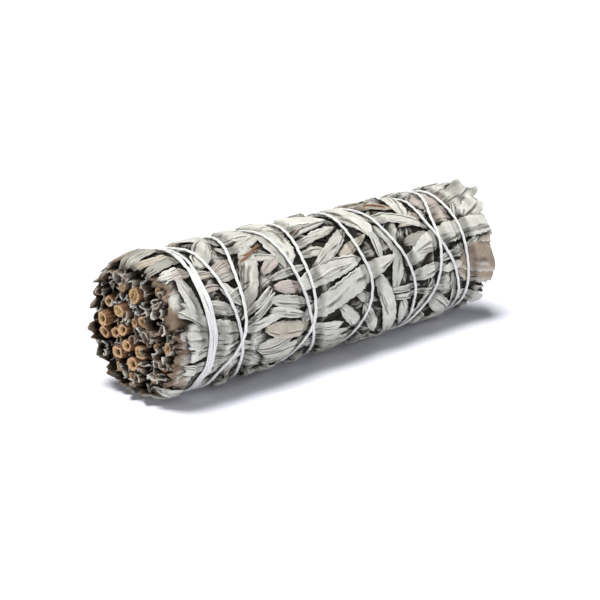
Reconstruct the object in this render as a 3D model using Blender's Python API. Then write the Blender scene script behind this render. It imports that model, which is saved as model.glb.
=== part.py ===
"""Tied bundle of dried sage: cut woody stems, folded leaves over each other, and one wound cotton string.

The bundle lies along X with its cut stems at -X, its leaf tips at +X and its underside on z = 0.
Places on the bundle are given as (x, angle, radius): angle 0 faces -Y and 90 degrees is the top.
"""

import math
import random

import bmesh
import bpy
import numpy as np
from mathutils import Vector

MM = 0.001

# Driving dimensions, in millimetres
OUTER_R = 22.4  # radius of the bundle over its leaves
AXIS_Z = 21.6  # height of the axis: the underside is pressed flat by the difference
CUT_X = -70.0  # plane of the cut stems
TIP_X = 70.0  # plane of the leaf tips
CORE_END_X = 60.0  # where the packed leaf strands stop short of the tips
CORE_START_X = -65.0  # where they stop short of the cut stems
CELL_R = 19.8  # radius of the packed strands at the cut end, which the stem places refer to
CELL_GAP = 0.42  # clearance between two strands
STEM_CLEARANCE = 0.3
BLADE_T = 0.72  # thickness of a leaf blade
BLADE_GAP = 0.2  # air between a blade and what it lies on
STRING_R = 0.6
STRING_GAP = 0.27
STRING_BITE = 1.2  # how far the leaves are pressed in under the string
REST_DROP = 1.1  # how far the leaves by the underside stay inside the resting leaves
ARC_R = 20.0  # radius at which a leaf's width and length are measured round the bundle

SEED = 42
LEAF_COUNT = 84
CANDIDATES = 48
FRONT_ROOM = 1.3  # thickness kept free in front for the leaves placed by hand

# The packed strands' radius along the bundle: (x, radius)
CORE_PROFILE = (
    (-72.0, 19.2),
    (-65.0, 19.8),
    (-56.0, 19.3),
    (-42.0, 18.0),
    (40.0, 17.8),
    (60.0, 17.6),
    (80.0, 15.0),
)

# Cut stems: (y, z from the axis, diameter, how far it stands past the cut plane)
STEMS = (
    (-0.5, 12.0, 5.2, 1.0),
    (8.0, 12.2, 2.8, -1.0),
    (13.5, 7.0, 3.6, 0.5),
    (6.5, 5.5, 4.0, 2.0),
    (14.8, 1.2, 4.6, 2.5),
    (16.6, -4.2, 4.0, 0.5),
    (11.2, -3.4, 3.4, 0.0),
    (6.2, -1.2, 3.8, 1.0),
    (1.8, 1.8, 3.0, -0.5),
    (-3.4, 3.2, 4.0, 0.0),
    (3.6, -6.0, 3.6, 1.5),
    (8.6, -9.4, 4.0, 1.5),
    (-2.8, -7.2, 4.4, 1.0),
    (-9.0, -4.6, 3.2, -0.5),
    (-16.0, -2.8, 3.8, 0.5),
    (1.6, -12.4, 4.4, 1.0),
    (-12.4, -9.6, 3.8, -0.5),
    (3.4, -17.2, 3.0, 0.0),
    (-6.6, -14.8, 3.4, -1.0),
    (10.0, -14.8, 3.2, 0.0),
    (-10.4, 6.4, 2.8, -2.0),
    (-8.4, 13.6, 3.0, -2.0),
)

# The string's route: (turns since it first passed the top, x). It runs over the front and under the bundle.
STRING_ROUTE = (
    (-0.25, -55.6), (0.0, -54.9), (0.12, -57.8), (0.25, -58.0), (0.5, -58.2), (0.75, -57.8),
    (1.0, -56.9), (1.12, -59.8), (1.25, -60.0), (1.5, -60.2), (1.75, -59.8),
    (2.0, -52.6), (2.12, -51.6), (2.25, -48.0), (2.36, -43.9), (2.5, -38.5), (2.75, -30.8),
    (3.0, -23.0), (3.12, -22.2), (3.25, -18.7), (3.36, -12.6), (3.5, -5.0), (3.62, 0.5), (3.75, 8.5),
    (4.0, 22.0), (4.12, 24.6), (4.25, 31.2), (4.36, 34.6), (4.5, 38.5), (4.75, 43.2),
    (5.0, 47.6), (5.12, 44.9), (5.25, 52.8), (5.36, 59.2), (5.5, 61.2), (5.75, 61.2),
    (6.0, 61.0), (6.12, 58.8), (6.25, 59.3), (6.36, 62.4), (6.5, 63.8), (6.75, 62.2),
    (7.0, 57.2), (7.12, 47.6), (7.25, 44.5), (7.36, 38.2), (7.42, 34.4), (7.5, 30.0), (7.75, 20.8),
    (8.0, 10.6), (8.12, 8.5), (8.25, 10.2), (8.36, 6.9), (8.5, 3.2), (8.62, 0.8), (8.75, -4.8),
    (9.0, -11.6), (9.12, -15.9), (9.25, -16.4), (9.36, -20.0), (9.5, -24.5), (9.75, -31.0),
    (10.0, -37.6), (10.12, -44.2), (10.25, -46.4), (10.36, -52.2), (10.5, -54.2), (10.7, -53.4),
)
STRING_POINTS_PER_TURN = 18

# Leaves that show in front: (root x, root angle, tip x, tip angle, width, rise, curve).
# The rise is that of the midrib over the rims, and negative where the rims stand up.
FRONT_LEAVES = (
    (-36, -6, -15, -16, 6.5, 0.6, 0.1),
    (-39, -21, -26, -18, 6.5, 0.7, 0.3),
    (-4, -6, 8, -32, 6.0, 0.7, 0.1),
    (42, -20, 61, -52, 8.0, 0.6, 0.1),
    (31, 2, 47, 6, 6.0, 0.6, -0.2),
    (13, 10, 27, -54, 7.5, 0.7, 0.1),
    (26, 34, 21, 0, 6.5, 1.0, 0.2),
    (20, 56, 17, 29, 6.0, 0.5, 0.1),
    (24, 58, 25, 31, 6.0, 0.5, 0.1),
    (-12, 33, 10, 64, 6.0, 0.8, 0.1),
    (-20, 23, 8, 31, 7.5, -0.8, -0.1),
    (-17, -5, 22, 25, 8.8, 0.8, -0.1),
    (17, 108, 16, 48, 12.0, 0.5, 0.0),
    (22, 68, 45, 41, 6.0, 0.9, -0.2),
    (44, 96, 36, 55, 9.0, 0.5, 0.1),
    (36, 22, 72, 28, 8.0, 0.5, -0.4),
    (58, 3, 73, -5, 13.0, 0.4, 0.0),
    (50, 76, 67, 80, 12.0, 0.4, 0.0),
    (-31, 25, -16, 18, 6.0, 0.7, 0.1),
    (-35, 17, -18, 6, 5.0, 0.7, 0.1),
    (-19, 84, -24, 38, 12.0, 1.0, 0.1),
    (-34, 64, -45, 12, 8.0, 0.9, 0.2),
    (-46, 110, -20, 78, 12.0, 0.5, 0.1),
    (-20, 104, 5, 80, 11.0, 0.5, -0.1),
    (-63, 5, -49, -3, 9.0, 0.4, 0.0),
    (-67, 5, -53, -2, 10.0, 0.4, 0.0),
    (-68, 30, -58, 4, 6.0, 0.6, 0.2),
    (-66, 22, -66, 50, 9.0, -0.5, 0.0),
    (-54, 62, -44, 90, 8.0, 0.6, 0.1),
    (-54, 48, -41, 56, 6.0, 0.5, 0.0),
    (61, 42, 72, 66, 9.0, 0.8, 0.2),
    (56, 98, 71, 92, 7.0, 0.8, 0.1),
)

# Leaves that the bundle rests on: (x of the middle, length)
RESTING_LEAVES = ((-47.0, 11.5), (-31.5, 8.5), (17.0, 18.0), (50.0, 15.0))

STATIONS = (0.0, 0.25, 0.52, 0.8, 1.0)  # along a blade
WIDTHS = (0.3, 0.86, 1.0, 0.66, 0.12)  # share of the full width at each station
ACROSS = (-1.0, 0.0, 1.0)


def core_radius(x):
    xs, rs = zip(*CORE_PROFILE)
    return np.interp(x, xs, rs)


def end_rounding(x):
    """The cut end is drawn in a little by the first turns of string."""
    t = np.clip((-58.0 - np.asarray(x, float)) / 13.0, 0.0, 1.0)
    return 1.0 - 0.07 * t * t


def pressing(x, angle):
    """Share of the radius left at a place, where the table flattens the underside."""
    down = np.maximum(-np.sin(angle), 1e-6)
    flat = np.where(down > 0.3, AXIS_Z / (down * OUTER_R), 1.0)
    return np.minimum(1.0, flat) * end_rounding(x)


def to_world(x, angle, radius):
    """World points in millimetres of places on the bundle."""
    r = radius * pressing(x, angle)
    return np.stack([np.broadcast_to(x, r.shape), -r * np.cos(angle), AXIS_Z + r * np.sin(angle)], -1)


def to_bundle(points):
    x, y, z = points[..., 0], points[..., 1], points[..., 2] - AXIS_Z
    angle = np.arctan2(z, -y)
    return x, angle, np.hypot(y, z) / pressing(x, angle)


class Surface:
    """The radius and the owner of what has been laid so far, on a grid over the bundle."""

    X0, STEP, COLUMNS = -80.0, 0.5, 340
    ROWS = 360

    def __init__(self, owner_at):
        x = self.X0 + self.STEP * (np.arange(self.COLUMNS) + 0.5)
        angle = np.radians(np.arange(self.ROWS) + 0.5) - math.pi
        self.x, self.angle = np.meshgrid(x, angle, indexing="ij")
        self.radius = np.array(core_radius(self.x))
        self.owner = owner_at(self.x, self.angle)
        self.depth = np.full(self.radius.shape, 2.6)
        self.ceiling = np.full(self.radius.shape, OUTER_R + 0.5)
        self.spread()

    def index(self, x, angle):
        i = np.clip(((x - self.X0) / self.STEP).astype(int), 0, self.COLUMNS - 1)
        j = np.floor(np.degrees(angle) + 180.0).astype(int) % self.ROWS
        return i, j

    def spread(self):
        """Keeps the highest radius of each cell and its neighbours, so that a blade clears edges too."""
        high = self.radius
        for shift in (-1, 1):
            high = np.maximum(high, np.roll(self.radius, shift, 1))
        wide = high.copy()
        wide[1:] = np.maximum(wide[1:], high[:-1])
        wide[:-1] = np.maximum(wide[:-1], high[1:])
        self.high = wide

    def add(self, points, owner, depth):
        x, angle, radius = to_bundle(points)
        i, j = self.index(x, angle)
        order = np.argsort(radius)
        i, j, radius = i[order], j[order], radius[order]
        above = radius > self.radius[i, j]
        i, j, radius = i[above], j[above], radius[above]
        self.radius[i, j] = radius
        self.owner[i, j] = owner
        self.depth[i, j] = depth
        self.spread()


def triangle_samples(steps):
    """Weights of evenly spaced points in a triangle."""
    pairs = [(a, b) for a in range(steps + 1) for b in range(steps + 1 - a)]
    return np.array([(a, b, steps - a - b) for a, b in pairs]) / steps


COARSE = triangle_samples(10)
MEDIUM = triangle_samples(14)
FINE = triangle_samples(30)


def blade_triangles():
    """Corner indices of a blade's face, with the diagonals of each half running towards the tip."""
    found = []
    for i in range(len(STATIONS) - 1):
        for j in range(len(ACROSS) - 1):
            a = i * 3 + j
            b, c, d = a + 1, a + 3, a + 4
            found += [(a, c, d), (a, d, b)] if j == 0 else [(a, c, b), (b, c, d)]
    return np.array(found)


TRIANGLES = blade_triangles()


def blade_footprint(root_x, root_angle, heading, length, width, curve):
    """The x and angle of a blade's corners, as flat on the bundle's skin."""
    u, half = np.array(STATIONS), np.array(WIDTHS) * width / 2
    turn = heading + curve * (u - 0.5)
    steps = np.diff(u, prepend=0.0) * length
    cx = root_x + np.cumsum(steps * np.cos(turn))
    ca = np.cumsum(steps * np.sin(turn))
    v = np.array(ACROSS)
    x = cx[:, None] - np.sin(turn)[:, None] * v * half[:, None]
    arc = ca[:, None] + np.cos(turn)[:, None] * v * half[:, None]
    return x, root_angle + arc / ARC_R


def settle_blade(skin, x, angle, rise):
    """The radius of each inner corner of a blade laid on the skin, and the strand it roots in, or None."""
    i, j = skin.index(x, angle)
    node = skin.owner[i[0, 1], j[0, 1]]
    t = np.linspace(0.0, 0.5, 6)[:, None]
    across = np.linspace(0, 2, 7)
    root_x, next_x = np.interp(across, (0, 1, 2), x[0]), np.interp(across, (0, 1, 2), x[1])
    root_a, next_a = np.interp(across, (0, 1, 2), angle[0]), np.interp(across, (0, 1, 2), angle[1])
    if (skin.owner[skin.index(root_x + (next_x - root_x) * t, root_a + (next_a - root_a) * t)] != node).any():
        return None
    shape = np.outer((0.0, 0.9, 1.0, 0.8, 0.3), (0.0, 1.0, 0.0) if rise > 0 else (1.0, 0.0, 1.0)) * abs(rise)
    radius = skin.high[i, j] + BLADE_GAP + shape
    radius[0] = skin.radius[i[0], j[0]].min() - min(0.7, 0.55 * skin.depth[i[0], j[0]].min())
    near_root = (np.arange(len(TRIANGLES)) < 4)[:, None]
    for _ in range(40):
        corners = to_world(x, angle, radius).reshape(-1, 3)
        sx, sa, sr = to_bundle(np.einsum("sk,tkc->tsc", COARSE, corners[TRIANGLES]))
        cell = skin.index(sx, sa)
        least = skin.high[cell] + BLADE_GAP
        sunk = (skin.owner[cell] == node) & near_root
        short = np.where(sunk, skin.radius[cell] - 0.75 * skin.depth[cell], least) - sr
        worst = short.max(1)
        if worst.max() < 0.03:
            return radius, node
        weight = COARSE[short.argmax(1)]
        weight = np.where(TRIANGLES < len(ACROSS), 0.0, weight)
        raised = np.maximum(worst, 0.0)[:, None] * weight / np.maximum((weight**2).sum(1), 0.05)[:, None]
        lift = np.zeros(corners.shape[0])
        np.maximum.at(lift, TRIANGLES, raised)
        radius = radius + lift.reshape(radius.shape)
    return None


def try_blade(skin, root_x, root_angle, heading, length, width, rise, curve):
    """A blade's inner and outer corners in millimetres, its strand and its mean radius, or None without room."""
    x, angle = blade_footprint(root_x, root_angle, heading, length, width, curve)
    settled = settle_blade(skin, x, angle, rise)
    if settled is None:
        return None
    radius, node = settled
    outer = radius + BLADE_T
    corners = to_world(x, angle, outer).reshape(-1, 3)
    samples = np.einsum("sk,tkc->tsc", MEDIUM, corners[TRIANGLES])
    sx, sa, sr = to_bundle(samples)
    if (sr > skin.ceiling[skin.index(sx, sa)]).any():
        return None
    return to_world(x, angle, radius), corners.reshape(x.shape + (3,)), node, float(sr.mean())


def keep_blade(skin, blades, found):
    inner, outer, node, _ = found
    corners = outer.reshape(-1, 3)
    samples = np.einsum("sk,tkc->tsc", FINE, corners[TRIANGLES]).reshape(-1, 3)
    skin.add(samples, node, BLADE_T)
    blades.setdefault(int(node), []).append((inner, outer))


def lay_leaves(skin, blades, rng):
    """Leaves from the tips back to the cut end, so that each covers the roots of those before it."""
    in_front = np.abs(np.degrees(skin.angle) - 28.0) < 78.0
    skin.ceiling[in_front] -= FRONT_ROOM
    for number in range(LEAF_COUNT):
        share = number / (LEAF_COUNT - 1)
        best = None
        for _ in range(CANDIDATES):
            length = rng.uniform(32.0, 48.0)
            root_x = 52.0 - 115.0 * share + rng.uniform(-3.0, 3.0)
            length = min(length, TIP_X + rng.uniform(-2.0, 3.0) - root_x)
            found = try_blade(
                skin,
                root_x,
                rng.uniform(-math.pi, math.pi),
                math.radians(rng.gauss(0.0, 24.0)),
                max(length, 16.0),
                rng.uniform(10.5, 15.0),
                rng.choice((-1.0, 1.0)) * rng.uniform(0.3, 1.1),
                rng.uniform(-0.5, 0.5),
            )
            if found and (best is None or found[3] < best[3]):
                best = found
        if best:
            keep_blade(skin, blades, best)
    skin.ceiling[in_front] += FRONT_ROOM


def lay_front_leaves(skin, blades, rng):
    for root_x, root_angle, tip_x, tip_angle, width, rise, curve in FRONT_LEAVES:
        across = math.radians(tip_angle - root_angle) * ARC_R
        length = math.hypot(tip_x - root_x, across)
        heading = math.atan2(across, tip_x - root_x)
        for attempt in range(30):
            loose = attempt / 30
            found = try_blade(
                skin,
                root_x + rng.uniform(-4.0, 4.0) * loose,
                math.radians(root_angle + rng.uniform(-12.0, 12.0) * loose),
                heading,
                length,
                width * (1 - 0.25 * loose),
                rise * (1 - loose),
                curve,
            )
            if found:
                keep_blade(skin, blades, found)
                break


def try_resting_leaf(skin, middle_x, length, middle_angle):
    """A leaf whose outer face lies on z = 0 past its first station, or None if another strand is in its way."""
    x, angle = blade_footprint(middle_x - length / 2, middle_angle, 0.0, length, 9.0, 0.0)
    i, j = skin.index(x, angle)
    node = skin.owner[i[0, 1], j[0, 1]]
    if (skin.owner[i[0], j[0]] != node).any():
        return None
    outer = to_world(x, angle, np.full(x.shape, OUTER_R))
    outer[..., 2] = 0.0
    root_z = to_world(x[0], angle[0], skin.radius[i[0], j[0]])[:, 2].max() + 0.4
    outer[0, :, 2] = root_z - BLADE_T
    inner = outer + (0.0, 0.0, BLADE_T)
    sx, sa, sr = to_bundle(np.einsum("sk,tkc->tsc", COARSE, inner.reshape(-1, 3)[TRIANGLES]))
    cell = skin.index(sx, sa)
    if ((skin.owner[cell] != node) & (sr < skin.high[cell] + 0.1)).any():
        return None
    return inner, outer, node, 0.0


def lay_resting_leaves(skin, blades):
    """The lowest leaves, which carry the bundle."""
    turns = (0.0, 1.5, -1.5, 3.0, -3.0, 4.5, -4.5)
    shifts = (0.0, 1.0, -1.0, 2.0, -2.0)
    places = [(share, dx, turn) for share in (1.0, 0.85, 0.7) for dx in shifts for turn in turns]
    for middle_x, length in RESTING_LEAVES:
        for share, dx, turn in places:
            found = try_resting_leaf(skin, middle_x + dx, length * share, math.radians(-90 + turn))
            if found:
                keep_blade(skin, blades, found)
                break


def route_x(turns):
    """The string's x after so many turns, on a smooth curve through its route."""
    t, x = (np.array(column) for column in zip(*STRING_ROUTE))
    slope = np.gradient(x, t)
    k = np.clip(np.searchsorted(t, turns, side="right") - 1, 0, len(t) - 2)
    span = t[k + 1] - t[k]
    s = (turns - t[k]) / span
    start = (1 + 2 * s) * (1 - s) ** 2 * x[k] + s * (1 - s) ** 2 * span * slope[k]
    return start + s * s * (3 - 2 * s) * x[k + 1] + s * s * (s - 1) * span * slope[k + 1]


def string_places():
    """The x and angle of the string's points."""
    first, last = STRING_ROUTE[0][0], STRING_ROUTE[-1][0]
    turns = np.linspace(first, last, int((last - first) * STRING_POINTS_PER_TURN) + 1)
    return route_x(turns), math.pi / 2 - 2 * math.pi * turns


def keep_room_for_string(skin):
    """Lowers the ceiling round the underside and along the string, which bites into the leaves."""
    from_bottom = np.abs(np.degrees(skin.angle) + 90.0)
    skin.ceiling[from_bottom < 24] = OUTER_R - REST_DROP
    turns = np.linspace(STRING_ROUTE[0][0], STRING_ROUTE[-1][0], 6000)
    x, angle = route_x(turns), math.pi / 2 - 2 * math.pi * turns
    angle = (angle + math.pi) % (2 * math.pi) - math.pi
    drop = np.where(np.abs(np.degrees(angle) + 90.0) < 46, 2 * STRING_R + 0.62, STRING_BITE)
    for side in np.linspace(-1.6, 1.6, 7):
        i, j = skin.index(x + side, angle)
        skin.ceiling[i, j] = np.minimum(skin.ceiling[i, j], OUTER_R - drop)


def tighten(need, along):
    """The least radius of a string's points at which its straight pieces clear what their samples need."""
    half = math.pi / STRING_POINTS_PER_TURN
    wanted = need * np.cos(2 * half * (along - 0.5)) / math.cos(half)
    most = wanted.max(1)
    radius = np.maximum(np.append(most, 0.0), np.append(0.0, most))
    last = len(radius) - 1
    ahead, behind = along <= 0.8, along >= 0.2
    for _ in range(6):
        for k in range(last + 1):
            least = 0.5 * (radius[max(k - 1, 0)] + radius[min(k + 1, last)]) * math.cos(2 * half)
            if k < last:
                t = along[ahead]
                least = max(least, ((wanted[k][ahead] - t * radius[k + 1]) / (1 - t)).max())
            if k > 0:
                t = along[behind]
                least = max(least, ((wanted[k - 1][behind] - (1 - t) * radius[k - 1]) / t).max())
            radius[k] = least
    return radius


def wind_string(skin):
    """World points of the string in millimetres, each turn laid over the leaves and the turns below it."""
    x, angle = string_places()
    side = np.array([-0.55, 0.0, 0.55]) * STRING_R
    width = np.linspace(-0.95, 0.95, 7) * STRING_R
    along = np.linspace(0.0, 1.0, 11)
    sx = x[:-1, None] + np.diff(x)[:, None] * along
    sa = angle[:-1, None] + np.diff(angle)[:, None] * along
    radius = np.zeros(len(x))
    block = STRING_POINTS_PER_TURN // 2
    for start in range(0, len(x) - 1, block):
        end = min(start + block, len(x) - 1)
        before = slice(max(start - 2 * block, 0), max(start - block, 0))
        if start >= 2 * block:
            ahead = slice(before.start + 1, before.stop + 1)
            sr = radius[before, None] * (1 - along) + radius[ahead, None] * along + STRING_R
            points = [to_world(sx[before] + s, sa[before], sr).reshape(-1, 3) for s in width]
            skin.add(np.concatenate(points), -1, STRING_R)
        over = np.max([skin.high[skin.index(sx[start:end] + s, sa[start:end])] for s in side], axis=0)
        found = tighten(over + STRING_R + STRING_GAP, along)
        radius[start : end + 1] = np.maximum(radius[start : end + 1], found)
    return to_world(x, angle, radius)


def clip_by_line(polygon, point, normal):
    """The part of a polygon on the side of the line that its normal points away from."""
    kept = []
    for a, b in zip(polygon, polygon[1:] + polygon[:1]):
        da, db = (a - point).dot(normal), (b - point).dot(normal)
        if da <= 0:
            kept.append(a)
        if (da < 0 < db) or (db < 0 < da):
            kept.append(a + (b - a) * (da / (da - db)))
    return kept


def strand_outlines():
    """For each stem, the outline in (y, z) of the packed strand of leaves round it at the cut end."""
    centres = [Vector((y, z)) for y, z, _, _ in STEMS]
    sides = 30
    steps = [2 * math.pi * k / sides for k in range(sides)]
    ring = [Vector((math.cos(a), math.sin(a))) * CELL_R for a in steps]
    outlines = []
    for centre in centres:
        outline = list(ring)
        for other in centres:
            if other != centre:
                away = (other - centre).normalized()
                outline = clip_by_line(outline, (centre + other) / 2 - away * CELL_GAP / 2, away)
        outlines.append(merge_close(outline, 0.5))
    return outlines


def merge_close(outline, least):
    kept = []
    for point in outline:
        if not kept or (point - kept[-1]).length > least:
            kept.append(point)
    if (kept[0] - kept[-1]).length < least:
        kept.pop()
    return kept


def strand_owner(x, angle):
    """Which strand meets the packed surface at a place."""
    y, z = -np.cos(angle) * (CELL_R - 0.2), np.sin(angle) * (CELL_R - 0.2)
    apart = [np.hypot(y - stem_y, z - stem_z) for stem_y, stem_z, _, _ in STEMS]
    return np.argmin(apart, axis=0)


def inside_point(x, y, z):
    """World point of a place inside the bundle, given by y and z at the cut end and drawn in along it."""
    share = float(core_radius(x)) / CELL_R
    angle = math.atan2(z, -y)
    radius = math.hypot(y, z) * share
    return Vector(to_world(np.array(x), np.array(angle), np.array(radius))) * MM


def new_object(name, bm, material=None):
    bmesh.ops.recalc_face_normals(bm, faces=bm.faces)
    mesh = bpy.data.meshes.new(name)
    bm.to_mesh(mesh)
    bm.free()
    obj = bpy.data.objects.new(name, mesh)
    bpy.context.scene.collection.objects.link(obj)
    if material:
        mesh.materials.append(material)
    return obj


def loft(rings, name, material=None):
    """A closed solid through rings of corners, by extruding the first ring's face along them."""
    bm = bmesh.new()
    face = bm.faces.new([bm.verts.new(point) for point in rings[0]])
    corner = {vert: k for k, vert in enumerate(face.verts)}
    for level, ring in enumerate(rings[1:]):
        made = bmesh.ops.extrude_face_region(bm, geom=[face])["geom"]
        if level:
            bmesh.ops.delete(bm, geom=[face], context="FACES_ONLY")
        face = next(part for part in made if isinstance(part, bmesh.types.BMFace))
        lifted = {}
        for vert in face.verts:
            near = min(corner, key=lambda other: (other.co - vert.co).length_squared)
            lifted[vert] = corner[near]
        corner = lifted
        for vert, k in corner.items():
            vert.co = ring[k]
    return new_object(name, bm, material)


def make_blade(name, inner, outer):
    """A blade as a grid split into triangles, extruded to its thickness."""
    bm = bmesh.new()
    bmesh.ops.create_grid(bm, x_segments=len(STATIONS) - 1, y_segments=len(ACROSS) - 1, size=1.0)
    column = {}
    for vert in bm.verts:
        i = round((vert.co.x + 1) / 2 * (len(STATIONS) - 1))
        j = round((vert.co.y + 1) / 2 * (len(ACROSS) - 1))
        column[vert] = (i, j)
    for face in list(bm.faces):
        corner = {column[vert]: vert for vert in face.verts}
        i, j = min(corner)
        ends = ((i, j), (i + 1, j + 1)) if j == 0 else ((i + 1, j), (i, j + 1))
        bmesh.utils.face_split(face, corner[ends[0]], corner[ends[1]])
    for vert, (i, j) in column.items():
        vert.co = Vector(inner[i, j]) * MM
    made = bmesh.ops.extrude_face_region(bm, geom=bm.faces[:])["geom"]
    lifted = [part for part in made if isinstance(part, bmesh.types.BMVert)]
    for vert in lifted:
        near = min(column, key=lambda other: (other.co - vert.co).length_squared)
        vert.co = Vector(outer[column[near]]) * MM
    return new_object(name, bm)


def make_flap(name, base_a, base_b, tip_a, tip_b, bulge, inwards):
    """A short scrap of leaf: two panels with a crease, standing on an end of a strand."""
    middle_base = (base_a + base_b) / 2 + bulge
    middle_tip = (tip_a + tip_b) / 2 + bulge * 1.6
    side = inwards.normalized() * BLADE_T * MM
    near = [base_a, middle_base, base_b, tip_b, middle_tip, tip_a]
    bm = bmesh.new()
    verts = [bm.verts.new(point) for point in near]
    bm.faces.new((verts[0], verts[1], verts[4], verts[5]))
    bm.faces.new((verts[1], verts[2], verts[3], verts[4]))
    bmesh.ops.triangulate(bm, faces=bm.faces)
    made = bmesh.ops.extrude_face_region(bm, geom=bm.faces[:])["geom"]
    bmesh.ops.translate(bm, vec=side, verts=[part for part in made if isinstance(part, bmesh.types.BMVert)])
    return new_object(name, bm)


def scrap_points(number, a, b, base_x, tip_x, narrowing):
    """Corners of a scrap that stands on a side of a strand's end, and the way to the strand's middle."""
    centre = Vector(STEMS[number][:2])
    ends = (a.lerp(b, narrowing), b.lerp(a, narrowing))
    points = [inside_point(x, p.x, p.y) for x, p in ((base_x, a), (base_x, b), (tip_x, ends[0]), (tip_x, ends[1]))]
    inwards = inside_point(tip_x, centre.x, centre.y) - (points[2] + points[3]) / 2
    inwards.x = 0.0
    return points, inwards


def end_scraps(number, outline, start, end, rng):
    """Scraps of cut leaf base round a stem at one end of its strand, and leaf tips at the other."""
    centre = Vector(STEMS[number][:2])
    least = STEMS[number][2] / 2 + STEM_CLEARANCE + BLADE_T + 0.35
    edges = sorted(zip(outline, outline[1:] + outline[:1]), key=lambda e: -(e[0] - e[1]).length)
    made = []
    for count, (a, b) in enumerate(edges[:3]):
        middle = (a + b) / 2
        away = (middle - centre).length
        if away < least + 0.1:
            continue
        inset = min(0.25, (away - least) / away)
        pa, pb = a.lerp(centre, inset), b.lerp(centre, inset)
        pa, pb = pa.lerp(pb, 0.15), pb.lerp(pa, 0.15)
        points, inwards = scrap_points(number, pa, pb, start + 2.0, start - rng.uniform(1.5, 4.5), 0.1)
        bulge = inwards.normalized() * rng.uniform(0.0, 0.15) * MM
        made.append(make_flap(f"scrap_{number}_{count}", *points, bulge, inwards))
    for count, (a, b) in enumerate(edges[:2]):
        pa, pb = a.lerp(centre, 0.22), b.lerp(centre, 0.22)
        points, inwards = scrap_points(number, pa, pb, end - 6.0, TIP_X + rng.uniform(-4.0, 2.5), 0.4)
        bulge = inwards.normalized() * rng.uniform(0.1, 0.25) * MM
        made.append(make_flap(f"tip_{number}_{count}", *points, bulge, inwards))
    return made


def stem_ring(x, centre_y, centre_z, radius, sides, tilt_y=0.0, tilt_z=0.0):
    centre = inside_point(x, centre_y, centre_z)
    ring = []
    for k in range(sides):
        a = 2 * math.pi * k / sides
        dy, dz = radius * math.cos(a), radius * math.sin(a)
        ring.append(centre + Vector((dy * tilt_y + dz * tilt_z, dy, dz)) * MM)
    return ring


def make_stem(number, material, rng):
    """A woody stem that narrows towards the tips, with a slanting cut and a hollow where the pith has dried."""
    y, z, diameter, stands = STEMS[number]
    radius, cut_x = diameter / 2, CUT_X - stands
    sides = 7
    tilt_y, tilt_z = rng.uniform(-0.3, 0.3), rng.uniform(-0.3, 0.3)
    rings = [
        stem_ring(24.0, y, z, radius * 0.5, sides),
        stem_ring(-42.0, y, z, radius * 0.78, sides),
        stem_ring(-60.0, y, z, radius * 0.92, sides),
        stem_ring(cut_x, y, z, radius, sides, tilt_y, tilt_z),
        stem_ring(cut_x, y, z, radius * 0.5, sides, tilt_y, tilt_z),
        stem_ring(cut_x + 2.4, y, z, radius * 0.42, sides),
    ]
    stem = loft(rings, f"stem_{number + 1:02d}", material)
    stem.data.shade_smooth()
    stem.data.set_sharp_from_angle(angle=math.radians(50))
    return stem


def make_channel(number):
    """The hole through a strand that its stem stands in."""
    y, z, diameter, stands = STEMS[number]
    radius, cut_x = diameter / 2, CUT_X - stands
    rings = [
        stem_ring(26.0, y, z, radius * 0.5 + STEM_CLEARANCE, 7),
        stem_ring(-42.0, y, z, radius * 0.78 + STEM_CLEARANCE, 7),
        stem_ring(-60.0, y, z, radius * 0.92 + STEM_CLEARANCE, 7),
        stem_ring(cut_x, y, z, radius + STEM_CLEARANCE, 7),
        stem_ring(cut_x - 5.0, y, z, radius + STEM_CLEARANCE, 7),
    ]
    cutter = loft(rings, f"channel_{number + 1:02d}")
    cutter.hide_render = True
    cutter.display_type = "WIRE"
    return cutter


def make_strand(number, outline, start, end, material):
    """The packed inner leaves round one stem, as a prism that draws in towards its tip."""
    centre = sum(outline, Vector((0.0, 0.0))) / len(outline)
    stations = ((start, 0.9), (start + 5.0, 1.0), (-42.0, 1.0), (40.0, 1.0), (end - 9.0, 0.96), (end, 0.5))
    rings = []
    for x, share in stations:
        drawn = [centre.lerp(point, share) for point in outline]
        rings.append([inside_point(x, point.x, point.y) for point in drawn])
    return loft(rings, f"leaves_{number + 1:02d}", material)


def apply_booleans(obj, joined, cutter):
    """Joins a strand and its leaves into one body, cuts its stem's channel, and removes the helpers."""
    group = bpy.data.collections.new(obj.name + "_blades")
    bpy.context.scene.collection.children.link(group)
    for blade in joined:
        bpy.context.scene.collection.objects.unlink(blade)
        group.objects.link(blade)
    union = obj.modifiers.new("blades", "BOOLEAN")
    union.operation, union.operand_type, union.collection = "UNION", "COLLECTION", group
    cut = obj.modifiers.new("channel", "BOOLEAN")
    cut.operation, cut.object = "DIFFERENCE", cutter
    bpy.context.view_layer.update()
    mesh = bpy.data.meshes.new_from_object(obj.evaluated_get(bpy.context.evaluated_depsgraph_get()))
    mesh.name = obj.name
    obj.modifiers.clear()
    obj.data = mesh
    for helper in [*joined, cutter]:
        bpy.data.objects.remove(helper)
    bpy.data.collections.remove(group)


def make_string(points, material):
    curve = bpy.data.curves.new("string", "CURVE")
    curve.dimensions = "3D"
    curve.bevel_depth = STRING_R * MM
    curve.bevel_resolution = 1
    curve.use_fill_caps = True
    spline = curve.splines.new("POLY")
    spline.points.add(len(points) - 1)
    for point, place in zip(spline.points, points):
        point.co = (*(place * MM), 1.0)
    curve.materials.append(material)
    obj = bpy.data.objects.new("string", curve)
    bpy.context.scene.collection.objects.link(obj)
    return obj


def make_material(name, colour, roughness):
    material = bpy.data.materials.new(name)
    material.use_nodes = True
    shader = material.node_tree.nodes["Principled BSDF"]
    shader.inputs["Base Color"].default_value = (*colour, 1.0)
    shader.inputs["Roughness"].default_value = roughness
    shader.inputs["Metallic"].default_value = 0.0
    return material


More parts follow.
